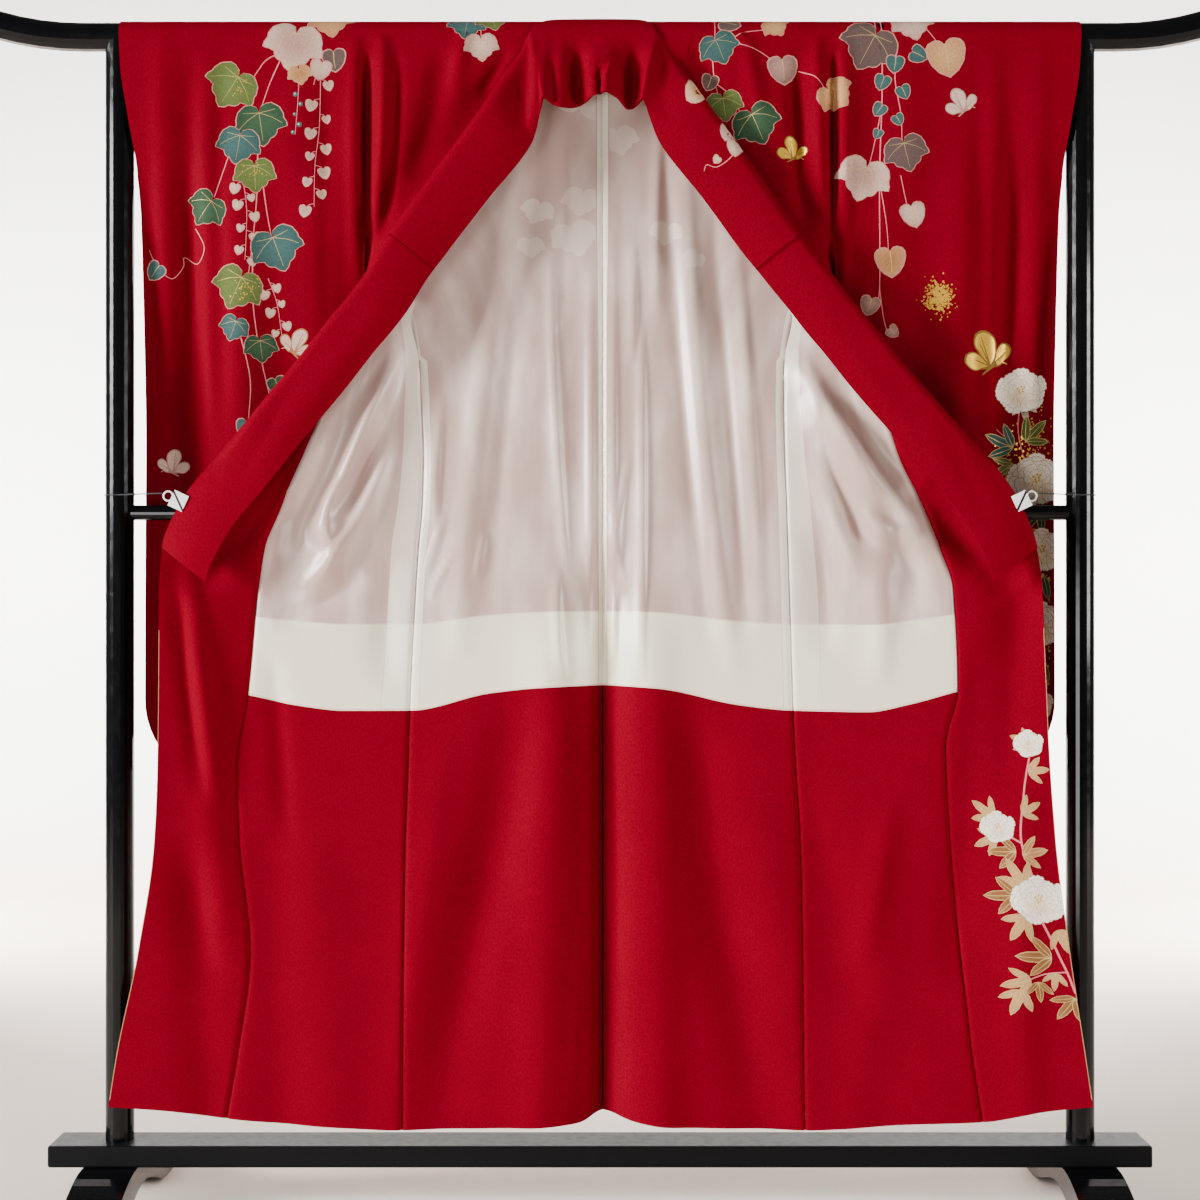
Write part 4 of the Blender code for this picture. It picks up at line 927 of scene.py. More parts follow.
def linear(channel: float) -> float:
    """Turn one sRGB channel, 0 to 1, into linear light."""
    return channel / 12.92 if channel <= 0.04045 else ((channel + 0.055) / 1.055) ** 2.4


def colour(code: str, alpha: float = 1.0) -> tuple[float, float, float, float]:
    """Turn an sRGB hex code into a linear colour."""
    red, green, blue = (linear(int(code[i:i + 2], 16) / 255.0) for i in (0, 2, 4))
    return red, green, blue, alpha


class Dye(Enum):
    """The colours of the print, as sRGB: dyes, white paste, leaf gold and painted seam shadow."""

    GREEN = "5A6A3A"
    OLIVE = "525C31"
    DEEP_GREEN = "38523C"
    PINE = "283F30"
    TEAL = "3E5C5A"
    DEEP_TEAL = "2E4846"
    GREY = "5A4A46"
    UMBER = "564644"
    BEIGE = "A57F73"
    SHELL = "C8A998"
    TAN = "A06E49"
    SAND = "BD9064"
    BROWN = "7F5535"
    RIM = "B97F74"
    VEIN = "BBA66C"
    STEM = "CE7478"
    WHITE = "F2E8DA"
    IVORY = "EBD3AE"
    GOLD = "D2A840"
    DARK_GOLD = "7E6030"
    VEIL = "F0E4D4"
    SEAM_CREAM = "F4EEDC"
    # Painted shadow beside the lining's doubled seam strips
    PAINTED_SEAM_SHADE = "A8948E"
    EDGE_PINK = "F0B0A8"
    PIPING = "A8843C"
    # Painted shadow along the facings' seams and across the over-collar's ends
    SEAM_SHADOW = "2A0008"


class Tone(Enum):
    """Two dyes of one motif: its middle's, and the one that it runs to at its outline."""

    TEAL = (Dye.TEAL, Dye.DEEP_TEAL)
    SAND = (Dye.SAND, Dye.TAN)
    SHELL = (Dye.SHELL, Dye.BEIGE)
    GREEN = (Dye.GREEN, Dye.OLIVE)
    GREY = (Dye.GREY, Dye.UMBER)
    FOREST = (Dye.DEEP_GREEN, Dye.PINE)
    BROWN = (Dye.BROWN, Dye.TAN)
    TAN = (Dye.TAN, Dye.SAND)
    DUSK = (Dye.BEIGE, Dye.GREY)
    OLIVE = (Dye.OLIVE, Dye.GREEN)
    GOLD = (Dye.GOLD, Dye.DARK_GOLD)
    BEIGE = (Dye.BEIGE, Dye.SHELL)
    MIST = (Dye.TEAL, Dye.VEIL)
    FAWN = (Dye.SHELL, Dye.TAN)
    CREAM = (Dye.SAND, Dye.SHELL)
    PINE = (Dye.PINE, Dye.DEEP_GREEN)
    MOSS = (Dye.GREEN, Dye.SAND)
    FERN = (Dye.DEEP_GREEN, Dye.TEAL)
    WHITE = (Dye.WHITE, Dye.SHELL)
    IVORY = (Dye.WHITE, Dye.SAND)
    LINEN = (Dye.WHITE, Dye.TAN)

    @property
    def middle(self) -> Dye:
        """Return the dye of the motif's middle."""
        return self.value[0]

    @property
    def rim(self) -> Dye:
        """Return the dye at the motif's outline."""
        return self.value[1]


@dataclass(frozen=True)
class Shape:
    """One printed area on the flat cloth. Its dye runs to its shade toward the outline."""

    outline: Array
    dye: Dye
    shade: Dye | None = None
    centre: Point = (0.0, 0.0)
    reach: float = 1.0
    strength: float = 1.0
    gilt: float = 0.0

    def colours(self, places: Array) -> Array:
        """Return the colour at some places, with how strongly it covers the ground.

        Args:
            places: Flat places, one row each.

        Returns:
            Linear red, green, blue and cover.
        """
        out = np.array(colour((self.shade or self.dye).value, self.strength))
        mid = np.array(colour(self.dye.value, self.strength))
        run = np.clip(np.hypot(*(places - self.centre).T) / self.reach, 0.0, 1.0)
        return mix(mid, out, smooth(run)[:, None])


@dataclass(frozen=True)
class Corner:
    """A corner of an outline, and how far the line to the next one bows out, as a share of it."""

    x: float
    y: float
    bow: float = 0.0


def bowed(corners: Sequence[Corner], steps: int = 3) -> Array:
    """Join corners with arcs.

    Args:
        corners: The corners, counter-clockwise.
        steps: Points for each arc.

    Returns:
        The outline's points, without the last corner.
    """
    points = []
    for a, b in zip(corners, corners[1:]):
        for k in range(steps):
            t = k / steps
            swell = 4.0 * t * (1.0 - t) * a.bow
            points.append((mix(a.x, b.x, t) + swell * (b.y - a.y),
                           mix(a.y, b.y, t) - swell * (b.x - a.x)))
    return np.array(points)


def both_halves(half: Sequence[Corner], steps: int = 3) -> Array:
    """Return a closed outline from its right half, which runs from the bottom to the top."""
    right = bowed(half, steps)
    top = np.array([(half[-1].x, half[-1].y)])
    left = right[:0:-1] * (-1.0, 1.0)
    return np.concatenate([right, top, left])


def placed(points: Array, at: Point, size: float, turn: float) -> Array:
    """Size, turn and move an outline.

    Args:
        points: Places in the motif's own units, where its tip points up at +Y.
        at: Where its origin goes: distance outward and distance down the cloth.
        size: Size of one unit, in metres.
        turn: Degrees from straight down the cloth, toward the outside.

    Returns:
        Places on the flat cloth.
    """
    angle = math.radians(turn)
    x = points[:, 0] * math.cos(angle) + points[:, 1] * math.sin(angle)
    y = -points[:, 0] * math.sin(angle) + points[:, 1] * math.cos(angle)
    return np.stack([at[0] + size * x, at[1] + size * y], axis=-1)


def curve_through(points: Sequence[Point], steps: int = 5) -> Array:
    """Return a smooth line through given points."""
    p = np.array([points[0], *points, points[-1]], dtype=float)
    line = []
    for i in range(1, len(p) - 2):
        for k in range(steps):
            t = k / steps
            line.append(0.5 * (2 * p[i] + (p[i + 1] - p[i - 1]) * t
                               + (2 * p[i - 1] - 5 * p[i] + 4 * p[i + 1] - p[i + 2]) * t * t
                               + (3 * p[i] - p[i - 1] - 3 * p[i + 1] + p[i + 2]) * t**3))
    line.append(p[-2])
    return np.array(line)


def stroke(line: Array, start: float, end: float) -> Array:
    """Return the outline of a brush line.

    Args:
        line: Its middle, one row for each place.
        start: Its width at the start.
        end: Its width at the end.

    Returns:
        The outline.
    """
    along = np.gradient(line, axis=0)
    along = along / np.maximum(np.linalg.norm(along, axis=1, keepdims=True), TINY)
    across = np.stack([-along[:, 1], along[:, 0]], axis=-1)
    half = np.linspace(start / 2, end / 2, len(line))[:, None]
    return np.concatenate([line + across * half, (line - across * half)[::-1]])


IVY_CLEFT = 0.20
IVY_HALF = rows_of(
    Corner,
    (0.0, IVY_CLEFT, 0.22), (0.2, -0.02, 0.16), (0.45, 0.06, 0.12), (0.57, 0.22, 0.1),
    (0.6, 0.4, 0.1), (0.66, 0.62, 0.04), (0.5, 0.64, 0.06), (0.4, 0.67, 0.07), (0.34, 0.8, 0.08),
    (0.2, 0.86, 0.1), (0.0, 1.04),
)
IVY_TIPS = (
    (0.0, 0.9), (0.54, 0.54), (-0.54, 0.54), (0.4, 0.16), (-0.4, 0.16),
)
VEIN_GILT = 0.5
HEART_HALF = rows_of(Corner, (0.0, 0.18, 0.2), (0.24, 0.02, 0.26), (0.5, 0.36, 0.14), (0.0, 1.0))
PEONY_LEAF_HALF = rows_of(Corner, (0.0, 0.0, 0.14), (0.155, 0.5, 0.1), (0.0, 1.0))
PETAL_HALF = rows_of(
    Corner,
    (0.0, 0.0, 0.02), (0.34, 0.42, 0.1), (0.46, 0.78, 0.26), (0.26, 0.93, 0.26), (0.0, 0.96),
)
NEAR_UPPER_WING = rows_of(
    Corner,
    (0.02, 0.02, -0.12), (0.08, 0.66, -0.16), (0.46, 1.0, -0.2), (0.88, 0.8, -0.18),
    (0.58, 0.3, -0.06), (0.02, 0.02),
)
NEAR_LOWER_WING = rows_of(
    Corner,
    (0.04, 0.0, -0.08), (0.6, 0.26, -0.16), (0.94, 0.08, -0.24), (0.7, -0.26, -0.18),
    (0.3, -0.16, -0.08), (0.04, 0.0),
)
FAR_WING = rows_of(
    Corner,
    (0.04, 0.5, -0.04), (0.0, 0.04, -0.16), (-0.34, 0.42, -0.16), (-0.42, 0.84, -0.22),
    (-0.06, 0.9, -0.1), (0.04, 0.5),
)


@dataclass(frozen=True)
class Motif:
    """A motif on the flat cloth: where it is, its size and how it is turned."""

    x: float
    drop: float
    size: float
    turn: float = 0.0
    tone: Tone = Tone.GREEN

    MIDDLE = (0.0, 0.40)

    def area(self, points: Array, dye: Dye, shade: Dye | None = None, gilt: float = 0.0,
             reach: float = 0.85) -> Shape:
        """Place one outline of this motif.

        Args:
            points: Its outline in the motif's units.
            dye: Its colour in the middle.
            shade: Its colour at the outline.
            gilt: How much of it is leaf gold.
            reach: How far the colour runs, in the motif's units.

        Returns:
            The printed area.
        """
        at = (self.x, self.drop)
        middle = placed(np.array([self.MIDDLE]), at, self.size, self.turn)[0]
        return Shape(placed(points, at, self.size, self.turn), dye, shade, tuple(middle),
                     reach * self.size, 1.0, gilt)

    def toned(self, points: Array) -> Shape:
        """Place one outline in the motif's own two dyes."""
        return self.area(points, self.tone.middle, self.tone.rim)

    def shapes(self) -> list[Shape]:
        """Return the printed areas, the lowest first."""
        raise NotImplementedError


def shrunk(outline: Array, middle: Point | Array, size: float | tuple) -> Array:
    """Return an outline drawn in toward a middle."""
    middle = np.array(middle)
    return middle + (outline - middle) * size


class Ivy(Motif):
    """A five-pointed ivy leaf with a pale outline and cream veins."""

    HEART = (0.0, 0.42)
    RIM = 0.040
    VEIN = 0.014
    VEIN_END = 0.4
    BEND = (0.56, 0.44)

    def shapes(self) -> list[Shape]:
        """Return the printed areas, the lowest first."""
        outline = both_halves(IVY_HALF, 2)
        inside = shrunk(outline, self.HEART, 1.0 - self.RIM)
        made = [self.area(outline, Dye.RIM), self.toned(inside)]
        for tip in IVY_TIPS:
            bend = (tip[0] * self.BEND[0], mix(IVY_CLEFT, tip[1], self.BEND[1]))
            line = curve_through([(0.0, IVY_CLEFT), bend, tip], 2)
            vein = stroke(line, self.VEIN, self.VEIN * self.VEIN_END)
            made.append(self.area(vein, Dye.VEIN, gilt=VEIN_GILT))
        return made


class Heart(Motif):
    """A young leaf, heart-shaped, with one vein."""

    HEART = (0.0, 0.45)
    INSET = 0.90
    VEIN = ((0.0, 0.14), (0.02, 0.45), (0.0, 0.80))
    VEIN_WIDTHS = (0.035, 0.018)

    def shapes(self) -> list[Shape]:
        """Return the printed areas, the lowest first."""
        outline = both_halves(HEART_HALF)
        return [self.area(outline, Dye.RIM), self.toned(shrunk(outline, self.HEART, self.INSET)),
                self.area(stroke(np.array(self.VEIN), *self.VEIN_WIDTHS), Dye.VEIN)]


class Berry(Motif):
    """A round berry."""

    FACETS = 10
    RADIUS = 0.5
    SHINE = 0.3
    SHINE_PLACE = (0.12, -0.1)

    def shapes(self) -> list[Shape]:
        """Return the printed areas, the lowest first."""
        turn = np.linspace(0.0, 2.0 * math.pi, self.FACETS, endpoint=False)
        ring = np.stack([np.cos(turn), np.sin(turn)], axis=-1) * self.RADIUS
        return [self.area(ring, self.tone.middle),
                self.area(ring * self.SHINE + self.SHINE_PLACE, Dye.WHITE)]


class Butterfly(Motif):
    """A butterfly seen from its side, in leaf gold or pale paste."""

    VEIN_TIPS = ((0.66, 0.78), (0.62, 0.56), (0.58, 0.04), (0.36, -0.18), (-0.28, 0.68))
    ROOT = (0.06, 0.04)
    HEAD = (-0.12, 0.20)
    BODY = (HEAD, (0.02, 0.02), (0.20, -0.30))
    FEELERS = (((-0.30, 0.34), (-0.46, 0.34)), ((-0.22, 0.40), (-0.34, 0.56)))
    INSET = 0.86
    GILT = 0.8
    VEIN_WIDTHS = (0.05, 0.025)
    BODY_WIDTHS = (0.13, 0.05)
    FEELER_WIDTHS = (0.022, 0.03)

    def shapes(self) -> list[Shape]:
        """Return the printed areas, the lowest first."""
        made = []
        middle, rim = self.tone.middle, self.tone.rim
        gilt = self.GILT if middle is Dye.GOLD else 0.0
        for wing in (FAR_WING, NEAR_LOWER_WING, NEAR_UPPER_WING):
            outline = bowed(wing, 4)
            inside = shrunk(outline, outline.mean(axis=0), self.INSET)
            made += [self.area(outline, rim), self.area(inside, middle, gilt=gilt)]
        for tip in self.VEIN_TIPS:
            vein = stroke(np.array([self.ROOT, tip]), *self.VEIN_WIDTHS)
            made.append(self.area(vein, rim))
        made.append(self.area(stroke(np.array(self.BODY), *self.BODY_WIDTHS), rim))
        for bend, tip in self.FEELERS:
            feeler = stroke(curve_through([self.HEAD, bend, tip], 3), *self.FEELER_WIDTHS)
            made.append(self.area(feeler, middle, gilt=gilt))
        return made


@dataclass(frozen=True)
class Ring:
    """One spray of petals: how many, how long, how far they start out and how wide they fan."""

    petals: int
    length: float
    start: float
    fan: float


class Peony(Motif):
    """A full peony in white paste, seen from its side, with ragged petals and gold stamens."""

    RINGS = rows_of(Ring, (11, 0.50, 0.34, 327.0), (9, 0.50, 0.24, 290.0), (7, 0.50, 0.10, 220.0),
                    (5, 0.42, 0.00, 150.0), (3, 0.34, -0.10, 80.0))
    BASE = 0.10
    HEART = 0.42
    HEART_MIDDLE = (0.0, 0.5)
    FLATTEN = 0.6
    PETAL_MIDDLE = (0.0, 0.55)
    PETAL_INSET = 0.93
    PETAL_REACH = 0.55
    STAMENS = 7
    STAMEN_TURN = 2.4
    STAMEN_STEP = 0.05
    STAMEN_SIZE = 0.07
    STAMEN_RISE = 0.4
    UNEVEN = 0.12
    UNEVEN_STEPS = (2.7, 1.9)
    WOBBLE = 5.0
    WOBBLE_STEP = 3.1

    def shapes(self) -> list[Shape]:
        """Return the printed areas, the lowest first."""
        petal = both_halves(PETAL_HALF)
        inside = shrunk(petal, self.PETAL_MIDDLE, self.PETAL_INSET)
        heart = both_halves(HEART_HALF, 5) - self.HEART_MIDDLE
        made = [Motif(self.x, self.drop + self.size * self.BASE, self.size * 2.0 * self.HEART,
                      self.turn).area(heart, Dye.IVORY, Dye.WHITE)]
        for level, ring in enumerate(self.RINGS):
            for k in range(ring.petals):
                leaf = self.petal(ring, level, k)
                made.append(leaf.area(petal, self.tone.rim))
                made.append(leaf.area(inside, Dye.IVORY, Dye.WHITE, 0.0, self.PETAL_REACH))
        for k in range(self.STAMENS):
            angle = self.STAMEN_TURN * k
            reach = self.size * self.STAMEN_STEP * math.sqrt(k + 1.0)
            dot = Berry(self.x + reach * math.cos(angle),
                        self.drop + self.size * self.BASE * self.STAMEN_RISE
                        + reach * math.sin(angle),
                        self.size * self.STAMEN_SIZE, 0.0, Tone.GOLD)
            made.append(dot.shapes()[0])
        return made

    def petal(self, ring: Ring, level: int, k: int) -> Motif:
        """Place one petal, a little uneven.

        Args:
            ring: The spray that it belongs to.
            level: The number of that spray.
            k: The number of the petal in it.

        Returns:
            Its place, size and turn.
        """
        by_petal, by_level = self.UNEVEN_STEPS
        uneven = 1.0 + self.UNEVEN * math.sin(by_petal * k + by_level * level)
        turn = 180.0 + self.turn + ring.fan * (k / (ring.petals - 1) - 0.5)
        angle = math.radians(turn + self.WOBBLE * math.sin(self.WOBBLE_STEP * k + level))
        rise = self.BASE + ring.start * math.cos(angle) * self.FLATTEN
        return Motif(self.x + self.size * ring.start * math.sin(angle),
                     self.drop + self.size * rise,
                     self.size * ring.length * uneven, math.degrees(angle))


class PeonyLeaf(Motif):
    """Three long pointed leaves on one stalk, each with its vein."""

    LEAVES = ((0.0, 1.0), (-46.0, 0.80), (42.0, 0.86))
    HEART = (0.0, 0.5)
    INSET = (0.86, 0.93)
    VEIN = ((0.0, 0.04), (0.015, 0.5), (0.0, 0.93))
    VEIN_WIDTHS = (0.03, 0.012)

    def shapes(self) -> list[Shape]:
        """Return the printed areas, the lowest first."""
        outline = both_halves(PEONY_LEAF_HALF)
        inside = shrunk(outline, self.HEART, self.INSET)
        vein = stroke(np.array(self.VEIN), *self.VEIN_WIDTHS)
        made = []
        for turn, size in self.LEAVES:
            leaf = Motif(self.x, self.drop, self.size * size, self.turn + turn, self.tone)
            made += [leaf.area(outline, Dye.VEIN), leaf.toned(inside),
                     leaf.area(vein, Dye.VEIN, gilt=VEIN_GILT)]
        return made


@dataclass(frozen=True)
class Vine:
    """A stem drawn with a brush through some points, each a distance outward and a drop."""

    points: tuple[Point, ...]
    width: float = 0.0020
    end_width: float = 0.0010

    def shapes(self) -> list[Shape]:
        """Return the printed area."""
        return [Shape(stroke(curve_through(self.points), self.width, self.end_width), Dye.STEM)]


@dataclass(frozen=True)
class Strip:
    """A straight strip of another tone: where layers lie double, where an edge shows, and painted
    shadow along a seam.
    """

    x_start: float
    x_end: float
    top: float
    foot: float
    dye: Dye = Dye.SEAM_CREAM
    strength: float = 0.8

    def shapes(self) -> list[Shape]:
        """Return the one area."""
        corners = np.array([(self.x_start, self.top), (self.x_end, self.top),
                            (self.x_end, self.foot), (self.x_start, self.foot)])
        sides = []
        for a, b in zip(corners, np.roll(corners, -1, axis=0)):
            count = max(1, round(float(np.hypot(*(b - a))) / COLUMN_STEP))
            sides.append(a + (b - a) * np.arange(count)[:, None] / count)
        return [Shape(np.concatenate(sides), self.dye, strength=self.strength)]


class ShowThrough(Motif):
    """A leaf of the outside that shows through the thin lining as a pale shape."""

    STRENGTH = 0.34

    def shapes(self) -> list[Shape]:
        """Return the one area."""
        at = (self.x, self.drop)
        return [Shape(placed(both_halves(IVY_HALF), at, self.size, self.turn), Dye.VEIL,
                      strength=self.STRENGTH)]


@dataclass(frozen=True)
class GoldFlakes:
    """Cut gold leaf strewn round a place."""

    x: float
    drop: float
    spread_x: float
    spread_drop: float
    count: int
    seed: int
    size: float = 0.0022

    SQUARE = ((0.5, 0.0), (0.0, 0.6), (-0.5, 0.0), (0.0, -0.4))
    SMALLEST = 0.5

    def shapes(self) -> list[Shape]:
        """Return the flakes."""
        chance = np.random.default_rng(self.seed)
        square = np.array(self.SQUARE)
        made = []
        for _ in range(self.count):
            at = (self.x + self.spread_x * chance.normal(),
                  self.drop + self.spread_drop * chance.normal())
            size = self.size * (self.SMALLEST + chance.random())
            flake = placed(square, at, size, 360.0 * chance.random())
            made.append(Shape(flake, Dye.GOLD, gilt=1.0))
        return made


@dataclass(frozen=True)
class String:
    """Small motifs hanging one under another along a vine, to its left and right in turn."""

    kind: type[Motif]
    points: tuple[Point, ...]
    count: int
    size: float
    tone: Tone = Tone.BEIGE

    SIDE_STEP = 0.6
    TURN = 14.0
    STALK = (0.8, 0.12)
    HANG = 0.10
    VINE_WIDTHS = (0.0012, 0.0008)
    STALK_WIDTHS = (0.0009, 0.0008)
    FIRST = 0.6
    SPARE = 0.2
    UNEVEN = 0.18
    UNEVEN_STEP = 2.3

    def shapes(self) -> list[Shape]:
        """Return the printed areas, the vine first."""
        made = Vine(self.points, *self.VINE_WIDTHS).shapes()
        line = curve_through(self.points, 8)
        for k in range(self.count):
            share = (k + self.FIRST) / (self.count + self.SPARE)
            at = line[round(share * (len(line) - 1))]
            side = 1.0 if k % 2 else -1.0
            size = self.size * (1.0 + self.UNEVEN * math.sin(self.UNEVEN_STEP * k))
            offset = side * self.SIDE_STEP * size
            stalk = ((at[0], at[1]), (at[0] + offset * self.STALK[0], at[1] + size * self.STALK[1]))
            made += Vine(stalk, *self.STALK_WIDTHS).shapes()
            made += self.kind(at[0] + offset, at[1] + size * self.HANG, size, side * self.TURN,
                              self.tone).shapes()
        return made


